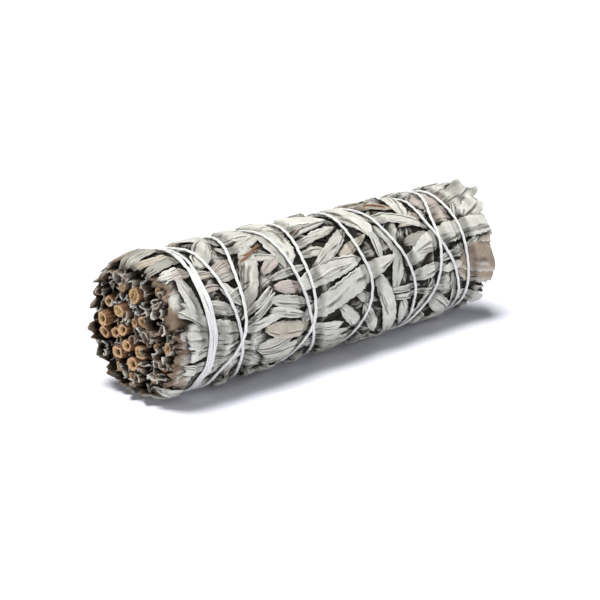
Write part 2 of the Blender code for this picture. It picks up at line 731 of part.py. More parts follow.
def clear_scene():
    for obj in list(bpy.data.objects):
        bpy.data.objects.remove(obj)


def main():
    clear_scene()
    leaf_material = make_material("sage_leaf", (0.43, 0.44, 0.39), 0.9)
    stem_material = make_material("sage_stem", (0.42, 0.23, 0.11), 0.8)
    string_material = make_material("cotton_string", (0.86, 0.86, 0.83), 0.9)
    rng = random.Random(SEED)
    outlines = strand_outlines()
    skin = Surface(strand_owner)
    keep_room_for_string(skin)
    blades = {}
    lay_leaves(skin, blades, rng)
    lay_front_leaves(skin, blades, rng)
    lay_resting_leaves(skin, blades)
    string_points = wind_string(skin)
    for number, outline in enumerate(outlines):
        start, end = CORE_START_X + rng.uniform(-0.5, 1.0), CORE_END_X + rng.uniform(-2.0, 5.0)
        strand = make_strand(number, outline, start, end, leaf_material)
        joined = [
            make_blade(f"blade_{number}_{count}", inner, outer)
            for count, (inner, outer) in enumerate(blades.get(number, []))
        ]
        joined += end_scraps(number, outline, start, end, rng)
        apply_booleans(strand, joined, make_channel(number))
        make_stem(number, stem_material, rng)
    make_string(string_points, string_material)


if __name__ == "__main__":
    main()
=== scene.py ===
"""Dressed model of a tied bundle of dried sage: folded leaves, cut stems and a wound cotton string.

The bundle lies along X with its cut stems at -X, its leaf tips at +X and its underside on z = 0.
Places on the bundle are given as (x, angle, radius) in millimetres and radians: angle 0 faces -Y and
a quarter turn is the top.
"""

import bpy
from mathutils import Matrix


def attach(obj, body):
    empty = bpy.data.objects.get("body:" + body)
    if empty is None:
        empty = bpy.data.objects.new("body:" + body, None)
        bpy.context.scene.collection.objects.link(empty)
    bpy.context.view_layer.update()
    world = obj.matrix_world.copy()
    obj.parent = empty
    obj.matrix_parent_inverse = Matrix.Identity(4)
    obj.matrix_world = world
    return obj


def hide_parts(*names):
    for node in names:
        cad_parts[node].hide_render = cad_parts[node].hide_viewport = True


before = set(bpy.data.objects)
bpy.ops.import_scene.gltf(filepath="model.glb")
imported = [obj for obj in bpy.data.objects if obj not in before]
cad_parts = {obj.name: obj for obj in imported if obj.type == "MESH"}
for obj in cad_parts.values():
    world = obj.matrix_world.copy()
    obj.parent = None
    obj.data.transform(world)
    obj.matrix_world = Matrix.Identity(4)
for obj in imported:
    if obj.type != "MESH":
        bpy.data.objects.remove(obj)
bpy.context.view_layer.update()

import math
import random

import bmesh
import bpy
import numpy as np
from bpy.props import FloatProperty, FloatVectorProperty, IntProperty, PointerProperty
from mathutils import Vector

bl_info = {
    "name": "Dried sage bundle",
    "version": (1, 0, 0),
    "blender": (4, 5, 0),
    "location": "3D View > Sidebar > Sage",
    "description": "Builds a tied bundle of dried sage piece by piece",
    "category": "Object",
}

MM = 0.001

# Sizes shared with the solid model, in millimetres
OUTER_R = 22.4  # outside of the leaves
AXIS_Z = 21.6  # height of the bundle's axis
CUT_X = -70.0
TIP_X = 70.0
CELL_R = 19.8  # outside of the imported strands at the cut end
STRAND_DEPTH = 2.6  # depth of a packed strand that a leaf can root in
BLADE_T = 0.72
BLADE_GAP = 0.2
STRING_R = 0.6
STRING_BITE = 1.2  # how deep the string presses into the leaves
REST_DROP = 1.1  # how far the leaves stay back underneath
ARC_R = 20.0  # radius at which a leaf's size across the bundle is taken
UNDERSIDE = 24  # degrees to each side of the bottom that rest on the table

# The solid model's rule for its leaves
SEED = 42
LEAF_COUNT = 84
CANDIDATES = 48
FRONT_ROOM = 1.3  # room left under the leaves that are placed one by one
FRONT_ANGLE, FRONT_REACH = 28.0, 78.0  # middle and half width of the side in front, in degrees

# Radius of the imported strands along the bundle: (x, radius)
CORE_PROFILE = (
    (-72.0, 19.2),
    (-65.0, 19.8),
    (-56.0, 19.3),
    (-42.0, 18.0),
    (40.0, 17.8),
    (60.0, 17.6),
    (80.0, 15.0),
)

# Cut stems: (y, z from the axis, diameter, how far it stands past the cut plane)
STEMS = (
    (-0.5, 12.0, 5.2, 1.0),
    (8.0, 12.2, 2.8, -1.0),
    (13.5, 7.0, 3.6, 0.5),
    (6.5, 5.5, 4.0, 2.0),
    (14.8, 1.2, 4.6, 2.5),
    (16.6, -4.2, 4.0, 0.5),
    (11.2, -3.4, 3.4, 0.0),
    (6.2, -1.2, 3.8, 1.0),
    (1.8, 1.8, 3.0, -0.5),
    (-3.4, 3.2, 4.0, 0.0),
    (3.6, -6.0, 3.6, 1.5),
    (8.6, -9.4, 4.0, 1.5),
    (-2.8, -7.2, 4.4, 1.0),
    (-9.0, -4.6, 3.2, -0.5),
    (-16.0, -2.8, 3.8, 0.5),
    (1.6, -12.4, 4.4, 1.0),
    (-12.4, -9.6, 3.8, -0.5),
    (3.4, -17.2, 3.0, 0.0),
    (-6.6, -14.8, 3.4, -1.0),
    (10.0, -14.8, 3.2, 0.0),
    (-10.4, 6.4, 2.8, -2.0),
    (-8.4, 13.6, 3.0, -2.0),
)

# The string's route: (turns since it first passed the top, x)
STRING_ROUTE = (
    (-0.25, -55.6), (0.0, -54.9), (0.12, -57.8), (0.25, -58.0), (0.5, -58.2), (0.75, -57.8),
    (1.0, -56.9), (1.12, -59.8), (1.25, -60.0), (1.5, -60.2), (1.75, -59.8),
    (2.0, -52.6), (2.12, -51.6), (2.25, -48.0), (2.36, -43.9), (2.5, -38.5), (2.75, -30.8),
    (3.0, -23.0), (3.12, -22.2), (3.25, -18.7), (3.36, -12.6), (3.5, -5.0), (3.62, 0.5), (3.75, 8.5),
    (4.0, 22.0), (4.12, 24.6), (4.25, 31.2), (4.36, 34.6), (4.5, 38.5), (4.75, 43.2),
    (5.0, 47.6), (5.12, 44.9), (5.25, 52.8), (5.36, 59.2), (5.5, 61.2), (5.75, 61.2),
    (6.0, 61.0), (6.12, 58.8), (6.25, 59.3), (6.36, 62.4), (6.5, 63.8), (6.75, 62.2),
    (7.0, 57.2), (7.12, 47.6), (7.25, 44.5), (7.36, 38.2), (7.42, 34.4), (7.5, 30.0), (7.75, 20.8),
    (8.0, 10.6), (8.12, 8.5), (8.25, 10.2), (8.36, 6.9), (8.5, 3.2), (8.62, 0.8), (8.75, -4.8),
    (9.0, -11.6), (9.12, -15.9), (9.25, -16.4), (9.36, -20.0), (9.5, -24.5), (9.75, -31.0),
    (10.0, -37.6), (10.12, -44.2), (10.25, -46.4), (10.36, -52.2), (10.5, -54.2), (10.7, -53.4),
)
RETURN_TURN = 6.6  # where the string starts back and lies over its own first run

# Leaves that show in front, lower ones first:
# (root x, root angle, tip x, tip angle, width, kind, rise, curve, tint)
FRONT_LEAVES = (
    (-71, 103, -60, 100, 5, "pleated", 1.2, 0.2, 0.70),
    (-71, 91, -61, 94, 5, "pleated", 1.2, -0.2, 0.60),
    (-71, 80, -61, 78, 5, "pleated", 1.2, 0.3, 0.88),
    (-71, 68, -61, 71, 5, "pleated", 1.2, 0.0, 0.66),
    (-69, 57, -61, 58, 5, "pleated", 0.8, 0.0, 0.10),
    (-58, -150, -72.5, -147, 9, "arched", 0.5, 0.0, 0.73),
    (-60, -96, -71, -92, 8, "pleated", 0.6, 0.0, 0.72),
    (-60, -74, -71, -70, 7, "arched", 0.5, 0.0, 0.70),
    (-60, -58, -71, -52, 6, "pleated", 0.8, 0.1, 0.40),
    (-60, 142, -69, 145, 7, "pleated", 0.8, 0.0, 0.97),
    (-60, 120, -69, 118, 7, "pleated", 0.8, 0.0, 0.93),
    (-60, 166, -69, 170, 7, "pleated", 0.8, 0.0, 0.95),
    (-46, 110, -20, 78, 12, "arched", 0.6, 0.1, 0.10),
    (-59, 52, -53, 50, 4, "rolled", 0.8, 0.0, 0.84),
    (-59, 38, -53, 38, 3, "rolled", 0.7, 0.0, 0.80),
    (-66, 55, -60, 56, 4, "arched", 0.5, 0.0, 0.82),
    (-52, 50, -43, 57, 5, "arched", 0.6, 0.0, 0.82),
    (-51, 44, -43, 47, 4.5, "arched", 0.5, 0.0, 0.62),
    (-51, 38, -46, 22, 5, "arched", 0.5, 0.0, 0.40),
    (-50, 27, -42, 33, 3, "rolled", 0.7, 0.0, 0.30),
    (-58, 24, -49.5, 16, 5, "pleated", 0.8, 0.0, 0.20),
    (-60, 5, -48.5, -3, 9, "arched", 0.5, 0.0, 0.15),
    (-58, -10, -46, -13, 3.4, "rolled", 0.7, 0.1, 0.45),
    (-58, -17, -46, -18, 3.2, "rolled", 0.7, 0.0, 0.30),
    (-58, -24, -45, -24, 3.6, "folded", 0.7, 0.0, 0.50),
    (-67.5, -24, -58, -27, 5, "pleated", 0.8, 0.0, 0.45),
    (-66.5, -12, -58, -11, 5, "arched", 0.6, 0.0, 0.45),
    (-67, 5, -56, -2, 10, "arched", 0.5, 0.0, 0.30),
    (-68, 27, -58, 8, 5, "tucked", 0.7, 0.1, 0.25),
    (-63.5, 20, -65, 47, 7, "trough", 0.5, 0.0, 0.20),
    (-54, 62, -44, 90, 8, "tucked", 0.7, 0.1, 0.10),
    (-39, 56, -29, 50, 4, "rolled", 0.8, 0.0, 0.30),
    (-40, 66, -28, 74, 4.5, "tucked", 0.8, 0.2, 0.15),
    (-43, 74, -34, 62, 4.5, "pleated", 0.8, 0.0, 0.25),
    (-34, 40, -24, 52, 4.5, "arched", 0.6, 0.0, 0.80),
    (-19.5, 84, -24, 38, 12, "tucked", 1.5, 0.1, 0.05),
    (-35, 62, -44.5, 13, 8, "tucked", 1.2, 0.2, 0.52),
    (-34, 25, -44, 11, 3, "rolled", 0.9, 0.1, 0.30),
    (-33.5, 19, -45, 1.5, 3.4, "rolled", 0.9, 0.1, 0.20),
    (-34, -38, -19, -36, 6, "pleated", 1.0, 0.0, 0.60),
    (-35, -29, -18, -27, 6, "pleated", 1.1, 0.2, 0.50),
    (-45, -2, -28, 5, 4, "folded", 0.8, 0.0, 0.40),
    (-39, -20, -26, -18, 6.5, "trough", 0.9, 0.4, 0.55),
    (-36, -6, -15, -16, 6.5, "arched", 0.7, 0.1, 0.87),
    (-31, 33, -16, 37, 3.4, "rolled", 0.9, 0.0, 0.30),
    (-35, 8, -24, 0, 4, "rolled", 0.8, 0.0, 0.40),
    (-31, 25, -16, 19, 5, "arched", 0.8, 0.1, 0.80),
    (-34, 16, -17, 6, 4.8, "tucked", 0.9, 0.1, 0.25),
    (-22, 102, 4, 78, 12, "arched", 0.6, -0.1, 0.00),
    (-15, 57, -7, 59, 4, "arched", 0.6, 0.0, 0.25),
    (-15, 47, -7, 45, 4, "tucked", 0.6, 0.0, 0.50),
    (-8, 60, 2, 64, 4.5, "arched", 0.6, 0.0, 0.30),
    (-12, 68, 0, 73, 3.4, "rolled", 0.7, 0.0, 0.15),
    (-1, 36, 11, 47, 4.8, "arched", 0.7, 0.0, 0.87),
    (-14, -50, 12, -54, 8, "arched", 0.6, 0.0, 0.66),
    (-14, -36, 12, -48, 8, "arched", 0.7, 0.1, 0.62),
    (-14, -28, -2, -29, 5, "pleated", 1.0, 0.0, 0.50),
    (-17, -18, -3, -20, 5.5, "pleated", 1.0, 0.2, 0.42),
    (-4, -6, 8, -31, 5.5, "tucked", 0.9, 0.1, 0.30),
    (3, 2, 11, -7, 4.5, "tucked", 0.8, 0.0, 0.56),
    (8, -12, 16, -42, 5, "folded", 0.7, 0.0, 0.40),
    (-12, 34, 10, 64, 5.5, "tucked", 1.2, 0.15, 0.20),
    (17, 52, 16, 29, 5, "tucked", 0.9, 0.0, 0.25),
    (22, 58, 24, 31, 5.5, "tucked", 1.0, 0.0, 0.40),
    (25, 88, 34, 74, 5, "pleated", 1.1, 0.0, 0.94),
    (14, 60, 24, 74, 5, "arched", 0.7, 0.0, 0.30),
    (45, 60, 34, 52, 5.5, "arched", 0.6, 0.0, 0.84),
    (31, 34, 45, 36, 5.5, "tucked", 1.1, 0.1, 0.68),
    (29, 17, 38, 26, 6, "arched", 0.6, 0.0, 0.35),
    (26, 33, 21, 1, 6.5, "tucked", 1.2, 0.2, 0.18),
    (19.5, -3, 34, -6, 2.8, "rolled", 0.9, 0.0, 0.30),
    (21, -10, 33, -13, 2.8, "rolled", 0.8, 0.0, 0.40),
    (26, -18, 33, -46, 6.5, "arched", 0.7, 0.1, 0.28),
    (34, -36, 44, -52, 6, "pleated", 0.8, 0.0, 0.45),
    (41, -4, 38, -32, 6.5, "pleated", 0.7, 0.1, 0.16),
    (46, -14, 34, -12, 3.4, "rolled", 0.8, 0.0, 0.50),
    (31, 2, 47, 6, 5.5, "tucked", 1.0, -0.2, 0.12),
    (-20, 22, 8, 31, 7.5, "trough", 1.0, -0.1, 0.08),
    (-11, 24, -4, 27, 2.4, "rolled", 0.6, 0.0, 0.10),
    (14, 9, 27, -56, 7.5, "tucked", 1.3, 0.15, 0.08),
    (-18, -5, 22, 25, 9, "tucked", 1.4, -0.15, 0.12),
    (17, 112, 16, 48, 12, "arched", 0.6, 0.0, 0.00),
    (22, 68, 46, 41, 6, "tucked", 1.3, -0.2, 0.10),
    (44, 97, 35.5, 55, 8.5, "arched", 0.9, 0.15, 0.04),
    (50, 76, 69, 80, 13, "arched", 0.5, 0.0, 0.79),
    (49, 50, 61, 46, 6, "arched", 0.6, 0.0, 0.85),
    (50, 60, 61, 57, 5, "arched", 0.6, 0.0, 0.81),
    (46, 12, 58, 16, 3.6, "rolled", 0.8, 0.0, 0.30),
    (47, 2, 59, 4, 3.6, "folded", 0.7, 0.0, 0.40),
    (53, 14, 61, 19, 5, "arched", 0.6, 0.0, 0.30),
    (58, 12, 67, 23, 5, "tucked", 0.8, 0.0, 0.20),
    (62, -15, 78, -19, 3.6, "rolled", 0.7, 0.0, 0.70),
    (66, -26, 77, -36, 3.6, "rolled", 0.7, 0.0, 0.50),
    (56, -30, 72, -40, 6, "tucked", 0.8, 0.0, 0.30),
    (57, 4, 76, -4, 13, "folded", 0.7, 0.0, 0.96),
    (52, -6, 56, -38, 5, "tucked", 0.8, 0.1, 0.30),
    (42, -22, 62, -57, 7.5, "arched", 0.8, 0.1, 0.15),
    (60, 40, 64, 60, 6, "tucked", 0.8, 0.0, 0.05),
    (58, 88, 76, 83, 6, "tucked", 0.8, 0.1, 0.30),
    (60, 100, 77, 92, 6, "arched", 0.8, 0.1, 0.10),
    (60, 112, 77, 104, 6, "tucked", 0.8, 0.1, 0.25),
    (62, 126, 76, 122, 6, "arched", 0.8, 0.1, 0.45),
    (66, 36, 77.5, 46, 7, "arched", 0.6, 0.1, 0.40),
    (66, 20, 77.5, 24, 6, "tucked", 0.8, 0.1, 0.86),
    (52, 94, 76, 85, 6, "tucked", 1.0, 0.05, 0.05),
    (62, 41, 75, 61, 9, "tucked", 1.3, 0.25, 0.04),
    (62, 66, 76, 72, 11, "arched", 0.9, 0.2, 0.20),
    (36, 24, 75, 30, 8.5, "tucked", 1.3, -0.45, 0.06),
)

# Thin reddish side twigs: (root x, root angle, tip x, tip angle, radius)
SIDE_TWIGS = (
    (-41, 53, -28, 65, 0.45),
    (-39, 58, -30, 60, 0.3),
    (27, 85, 33, 75, 0.3),
    (-12, 74, -6, 70, 0.25),
    (-30, 168, -14, 158, 0.5),
    (12, -160, 24, -150, 0.45),
)

# A blade of the solid model: places along it, its width there and its corners across
STATIONS = (0.0, 0.25, 0.52, 0.8, 1.0)
WIDTHS = (0.3, 0.86, 1.0, 0.66, 0.12)
ACROSS = (-1.0, 0.0, 1.0)

# The finer leaves, in millimetres
LEAF_T = 0.34  # thickness of a dried blade
LEAF_GAP = 0.12
LEAF_SAMPLES = 4  # places laid on the skin for each step of a leaf's grid
KINDS = ("tucked", "arched", "trough", "folded", "rolled", "pleated")
FINE_FRONT_ROOM = 1.25  # the same room for the finer leaves
FREE_X = 71  # a leaf in front whose tip is past this stands free
GOLDEN = 0.618  # share of a turn from one leaf to the next at the ends
BASE_LEAVES, TIP_LEAVES = 64, 56  # round the stems at the cut end, and at the other end
FILLER_TRIES = 16  # places looked at for each small leaf

# Seeds of this model's own draws
LEAF_SEED, STRIP_SEED, STEM_SEED, TWIG_SEED, FIBRE_SEED = 7, 19, 5, 3, 23

# The strips of leaf seen on edge at both ends, on a square grid in millimetres
GRID_CELL, GRID_CELLS = 0.28, 170
STRIP_PLACES = np.linspace(-1, 1, 19)  # from one side of a strip to the other
END_R = 20.6  # the middle of a strip lies within this radius
END_EDGE_R = 21.2  # the whole strip lies within this one

SOUND_STEMS = (0, 1, 3, 12)  # stems whose pith is not hollow
STEM_SIDES = 24

# The string's band of turns near the cut end, and its plies and fibres, in millimetres
BAND_EDGE_X, BAND_X = -56.6, -59.0
PLY_STEP = 0.85  # between the places along a ply
LOOSE_FIBRES = 420

# Camera: target in millimetres, angles in degrees, distance in metres
CAMERA_TARGET = (-1.16, 0.0, 16.73)
CAMERA_AZIMUTH, CAMERA_ELEVATION = -45.05, 16.09
CAMERA_DISTANCE, CAMERA_LENS = 0.495, 90.0

# Soft lights: (name, way towards the camera, to its right and up, angle, share of the power, colour)
LIGHTS = (
    ("key", 0.06, -0.2, 1.0, 0.5, 1.0, (1.0, 0.99, 0.97)),
    ("fill", 0.75, -0.55, -0.2, 0.7, 1.0, (1.0, 1.0, 1.0)),
    ("front", 0.8, 0.5, -0.17, 0.7, 0.8, (1.0, 1.0, 1.0)),
    ("side", -0.5, 0.8, 0.2, 0.7, 0.45, (1.0, 1.0, 1.0)),
)
ROOM_COLOUR, ROOM_STRENGTH = (0.86, 0.92, 1.0, 1.0), 0.07

# Pale colour of the leaf margins, and of the painted highlight beside each crease
PALE_MARGIN_AND_HIGHLIGHT = (0.88, 0.87, 0.82, 1.0)
DEEP_SHADE = (0.008, 0.006, 0.004, 1.0)


class LeafSettings(bpy.types.PropertyGroup):
    thickness: FloatProperty(
        name="Blade thickness", description="Thickness of a dried blade", default=LEAF_T * MM, unit="LENGTH"
    )
    filler_count: IntProperty(
        name="Small leaves", description="Small leaves between the large ones", default=600
    )
    colour: FloatVectorProperty(
        name="Leaf colour", description="Felted grey green", default=(0.705, 0.7, 0.64), subtype="COLOR"
    )
    withered: FloatVectorProperty(
        name="Withered colour",
        description="Leaf bases at the cut end",
        default=(0.1, 0.065, 0.045),
        subtype="COLOR",
    )


class StemSettings(bpy.types.PropertyGroup):
    bark: FloatVectorProperty(
        name="Bark colour", description="Bark of the cut stems", default=(0.29, 0.145, 0.07), subtype="COLOR"
    )
    wood: FloatVectorProperty(
        name="Wood colour", description="Ring of wood in a cut", default=(0.76, 0.49, 0.28), subtype="COLOR"
    )
    pith: FloatVectorProperty(
        name="Pith colour", description="Pith in a cut", default=(0.58, 0.37, 0.15), subtype="COLOR"
    )


class StringSettings(bpy.types.PropertyGroup):
    ply_radius: FloatProperty(
        name="Ply radius", description="Radius of one ply of the string", default=0.00028, unit="LENGTH"
    )
    pitch: FloatProperty(name="Twist", description="Length of one twist", default=0.011, unit="LENGTH")
    colour: FloatVectorProperty(
        name="String colour", description="Bleached cotton", default=(0.88, 0.88, 0.87), subtype="COLOR"
    )


class StageSettings(bpy.types.PropertyGroup):
    floor: FloatVectorProperty(
        name="Floor colour", description="Pale floor", default=(0.88, 0.89, 0.98), subtype="COLOR"
    )
    key_power: FloatProperty(
        name="Key light", description="Strength of the soft light from above", default=4.0
    )
    fill_power: FloatProperty(
        name="Fill light", description="Strength of the lights at the sides", default=1.8
    )


def core_radius(x):
    xs, rs = zip(*CORE_PROFILE)
    return np.interp(x, xs, rs)


def end_rounding(x):
    t = np.clip((-58.0 - np.asarray(x, float)) / 13.0, 0.0, 1.0)
    return 1.0 - 0.07 * t * t


def pressing(x, angle):
    """Share of the radius left at a place, where the table flattens the underside."""
    down = np.maximum(-np.sin(angle), 1e-6)
    flat = np.where(down > 0.3, AXIS_Z / (down * OUTER_R), 1.0)
    return np.minimum(1.0, flat) * end_rounding(x)


def to_world(x, angle, radius):
    r = radius * pressing(x, angle)
    return np.stack([np.broadcast_to(x, r.shape), -r * np.cos(angle), AXIS_Z + r * np.sin(angle)], -1)


def to_bundle(points):
    x, y, z = points[..., 0], points[..., 1], points[..., 2] - AXIS_Z
    angle = np.arctan2(z, -y)
    return x, angle, np.hypot(y, z) / pressing(x, angle)


def strand_owner(angle):
    """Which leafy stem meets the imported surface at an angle."""
    y, z = -np.cos(angle) * (CELL_R - 0.2), np.sin(angle) * (CELL_R - 0.2)
    apart = [np.hypot(y - stem_y, z - stem_z) for stem_y, stem_z, _, _ in STEMS]
    return np.argmin(apart, axis=0)


def rim_above(radius, reach):
    """The highest radius within so many cells of each one."""
    high = radius.copy()
    for shift in range(1, reach + 1):
        high = np.maximum(high, np.maximum(np.roll(radius, shift, 1), np.roll(radius, -shift, 1)))
    wide = high.copy()
    for shift in range(1, reach + 1):
        wide[shift:] = np.maximum(wide[shift:], high[:-shift])
        wide[:-shift] = np.maximum(wide[:-shift], high[shift:])
    return wide


def box_blur(values, reach):
    """Mean over a square of cells, round the bundle in the second direction."""
    total = np.cumsum(np.pad(values, ((reach + 1, reach), (0, 0)), mode="edge"), axis=0)
    values = (total[2 * reach + 1 :] - total[: -2 * reach - 1]) / (2 * reach + 1)
    total = np.cumsum(np.pad(values, ((0, 0), (reach + 1, reach)), mode="wrap"), axis=1)
    return (total[:, 2 * reach + 1 :] - total[:, : -2 * reach - 1]) / (2 * reach + 1)


class Surface:
    """The radius and the owner of what has been laid so far, on a grid over the bundle."""

    X0 = -80.0

    def __init__(self, step, columns, rows):
        self.step, self.columns, self.rows = step, columns, rows
        x = self.X0 + step * (np.arange(columns) + 0.5)
        angle = 2 * math.pi * (np.arange(rows) + 0.5) / rows - math.pi
        x, self.angle = np.meshgrid(x, angle, indexing="ij")
        self.radius = np.array(core_radius(x))
        self.owner = strand_owner(self.angle)
        self.depth = np.full(self.radius.shape, STRAND_DEPTH)
        self.ceiling = np.full(self.radius.shape, OUTER_R + 0.5)
        self.high = rim_above(self.radius, 1)

    def index(self, x, angle):
        i = np.clip(((x - self.X0) / self.step).astype(int), 0, self.columns - 1)
        j = np.floor((np.degrees(angle) + 180.0) * self.rows / 360.0).astype(int) % self.rows
        return i, j

    def lower_front(self, drop):
        """Lowers the ceiling on the side that shows in front."""
        self.ceiling[np.abs(np.degrees(self.angle) - FRONT_ANGLE) < FRONT_REACH] -= drop

    def add(self, x, angle, radius, owner, depth):
        """Lays places on the surface; high covers a cell's neighbours too, so that a blade clears edges."""
        i, j = self.index(x, angle)
        order = np.argsort(radius)
        i, j, radius = i[order], j[order], radius[order]
        above = radius > self.radius[i, j]
        i, j, radius = i[above], j[above], radius[above]
        self.radius[i, j] = radius
        self.owner[i, j] = owner
        self.depth[i, j] = depth
        self.high = rim_above(self.radius, 1)


def triangle_samples(steps):
    pairs = [(a, b) for a in range(steps + 1) for b in range(steps + 1 - a)]
    return np.array([(a, b, steps - a - b) for a, b in pairs]) / steps


COARSE = triangle_samples(10)
MEDIUM = triangle_samples(14)
FINE = triangle_samples(30)


def blade_triangles():
    found = []
    for i in range(len(STATIONS) - 1):
        for j in range(len(ACROSS) - 1):
            a = i * 3 + j
            b, c, d = a + 1, a + 3, a + 4
            found += [(a, c, d), (a, d, b)] if j == 0 else [(a, c, b), (b, c, d)]
    return np.array(found)


TRIANGLES = blade_triangles()


def blade_footprint(root_x, root_angle, heading, length, width, curve):
    """The x and angle of a blade's corners, as flat on the bundle's skin."""
    u, half = np.array(STATIONS), np.array(WIDTHS) * width / 2
    turn = heading + curve * (u - 0.5)
    steps = np.diff(u, prepend=0.0) * length
    cx = root_x + np.cumsum(steps * np.cos(turn))
    ca = np.cumsum(steps * np.sin(turn))
    v = np.array(ACROSS)
    x = cx[:, None] - np.sin(turn)[:, None] * v * half[:, None]
    arc = ca[:, None] + np.cos(turn)[:, None] * v * half[:, None]
    return x, root_angle + arc / ARC_R


def settle_blade(skin, x, angle, rise):
    """The radius of each inner corner of a blade laid on the skin, and the strand it roots in, or None."""
    i, j = skin.index(x, angle)
    node = skin.owner[i[0, 1], j[0, 1]]
    t = np.linspace(0.0, 0.5, 6)[:, None]
    across = np.linspace(0, 2, 7)
    root_x, next_x = np.interp(across, (0, 1, 2), x[0]), np.interp(across, (0, 1, 2), x[1])
    root_a, next_a = np.interp(across, (0, 1, 2), angle[0]), np.interp(across, (0, 1, 2), angle[1])
    if (skin.owner[skin.index(root_x + (next_x - root_x) * t, root_a + (next_a - root_a) * t)] != node).any():
        return None
    shape = np.outer((0.0, 0.9, 1.0, 0.8, 0.3), (0.0, 1.0, 0.0) if rise > 0 else (1.0, 0.0, 1.0)) * abs(rise)
    radius = skin.high[i, j] + BLADE_GAP + shape
    radius[0] = skin.radius[i[0], j[0]].min() - min(0.7, 0.55 * skin.depth[i[0], j[0]].min())
    near_root = (np.arange(len(TRIANGLES)) < 4)[:, None]
    for _ in range(40):
        corners = to_world(x, angle, radius).reshape(-1, 3)
        sx, sa, sr = to_bundle(np.einsum("sk,tkc->tsc", COARSE, corners[TRIANGLES]))
        cell = skin.index(sx, sa)
        least = skin.high[cell] + BLADE_GAP
        sunk = (skin.owner[cell] == node) & near_root
        short = np.where(sunk, skin.radius[cell] - 0.75 * skin.depth[cell], least) - sr
        worst = short.max(1)
        if worst.max() < 0.03:
            return radius, node
        weight = COARSE[short.argmax(1)]
        weight = np.where(TRIANGLES < len(ACROSS), 0.0, weight)
        raised = np.maximum(worst, 0.0)[:, None] * weight / np.maximum((weight**2).sum(1), 0.05)[:, None]
        lift = np.zeros(corners.shape[0])
        np.maximum.at(lift, TRIANGLES, raised)
        radius = radius + lift.reshape(radius.shape)
    return None


def try_blade(skin, root_x, root_angle, heading, length, width, rise, curve):
    """A blade's places and outer radius, its strand, its rise and its mean radius, or None without room."""
    x, angle = blade_footprint(root_x, root_angle, heading, length, width, curve)
    settled = settle_blade(skin, x, angle, rise)
    if settled is None:
        return None
    radius, node = settled
    outer = radius + BLADE_T
    corners = to_world(x, angle, outer).reshape(-1, 3)
    sx, sa, sr = to_bundle(np.einsum("sk,tkc->tsc", MEDIUM, corners[TRIANGLES]))
    if (sr > skin.ceiling[skin.index(sx, sa)]).any():
        return None
    return x, angle, outer, int(node), rise, float(sr.mean())


def keep_blade(skin, blades, found):
    x, angle, outer, node = found[:4]
    corners = to_world(x, angle, outer).reshape(-1, 3)
    samples = np.einsum("sk,tkc->tsc", FINE, corners[TRIANGLES]).reshape(-1, 3)
    skin.add(*to_bundle(samples), node, BLADE_T)
    blades.append(found)


def lay_solid_leaves(skin, rng):
    """The leaves of the solid model, from the tips back to the cut end, by its own rule."""
    blades = []
    skin.lower_front(FRONT_ROOM)
    for number in range(LEAF_COUNT):
        share = number / (LEAF_COUNT - 1)
        best = None
        for _ in range(CANDIDATES):
            length = rng.uniform(32.0, 48.0)
            root_x = 52.0 - 115.0 * share + rng.uniform(-3.0, 3.0)
            length = min(length, TIP_X + rng.uniform(-2.0, 3.0) - root_x)
            found = try_blade(
                skin,
                root_x,
                rng.uniform(-math.pi, math.pi),
                math.radians(rng.gauss(0.0, 24.0)),
                max(length, 16.0),
                rng.uniform(10.5, 15.0),
                rng.choice((-1.0, 1.0)) * rng.uniform(0.3, 1.1),
                rng.uniform(-0.5, 0.5),
            )
            if found and (best is None or found[-1] < best[-1]):
                best = found
        if best:
            keep_blade(skin, blades, best)
    skin.lower_front(-FRONT_ROOM)
    return blades


def route_x(turns):
    """The string's x after so many turns, on a smooth curve through its route."""
    t, x = (np.array(column) for column in zip(*STRING_ROUTE))
    slope = np.gradient(x, t)
    k = np.clip(np.searchsorted(t, turns, side="right") - 1, 0, len(t) - 2)
    span = t[k + 1] - t[k]
    s = (turns - t[k]) / span
    start = (1 + 2 * s) * (1 - s) ** 2 * x[k] + s * (1 - s) ** 2 * span * slope[k]
    return start + s * s * (3 - 2 * s) * x[k + 1] + s * s * (s - 1) * span * slope[k + 1]


def string_run(count):
    turns = np.linspace(STRING_ROUTE[0][0], STRING_ROUTE[-1][0], count)
    angle = math.pi / 2 - 2 * math.pi * turns
    return turns, route_x(turns), (angle + math.pi) % (2 * math.pi) - math.pi


def keep_room_for_string(skin, sides, bite, slope):
    """Lowers the ceiling round the underside and along the string, which bites into the leaves."""
    from_bottom = np.abs(np.degrees(skin.angle) + 90.0)
    skin.ceiling[from_bottom < UNDERSIDE] = OUTER_R - REST_DROP
    _, x, angle = string_run(6000)
    under = np.abs(np.degrees(angle) + 90.0) < 46
    for side in sides:
        away = slope * max(abs(side) - 1.0, 0.0)
        drop = np.where(under, max(2 * STRING_R + 0.62 - away, bite - away), bite - away)
        i, j = skin.index(x + side, angle)
        np.minimum.at(skin.ceiling, (i, j), OUTER_R - drop)


def linear_weights(count, finer):
    """Matrix that takes values at so many points to finer ones between them."""
    places = np.linspace(0, count - 1, (count - 1) * finer + 1)
    low = np.minimum(places.astype(int), count - 2)
    weights = np.zeros((len(places), count))
    weights[np.arange(len(places)), low] = 1 - (places - low)
    weights[np.arange(len(places)), low + 1] += places - low
    return weights


def leaf_outline(kind, u):
    """Half width along a leaf as a share of its greatest."""
    rising = np.sin(np.minimum(u / 0.3, 1.0) * math.pi / 2)
    power = 3.2 if kind == "blunt" else 1.45
    falling = np.cos(np.clip((u - 0.4) / 0.6, 0.0, 1.0) ** power * math.pi / 2) ** 0.9
    base = {"cut": 0.92, "leaf": 0.34, "blunt": 0.5}[kind]
    return np.maximum((base + (1 - base) * rising) * falling, 0.45 if kind == "blunt" else 0.05)


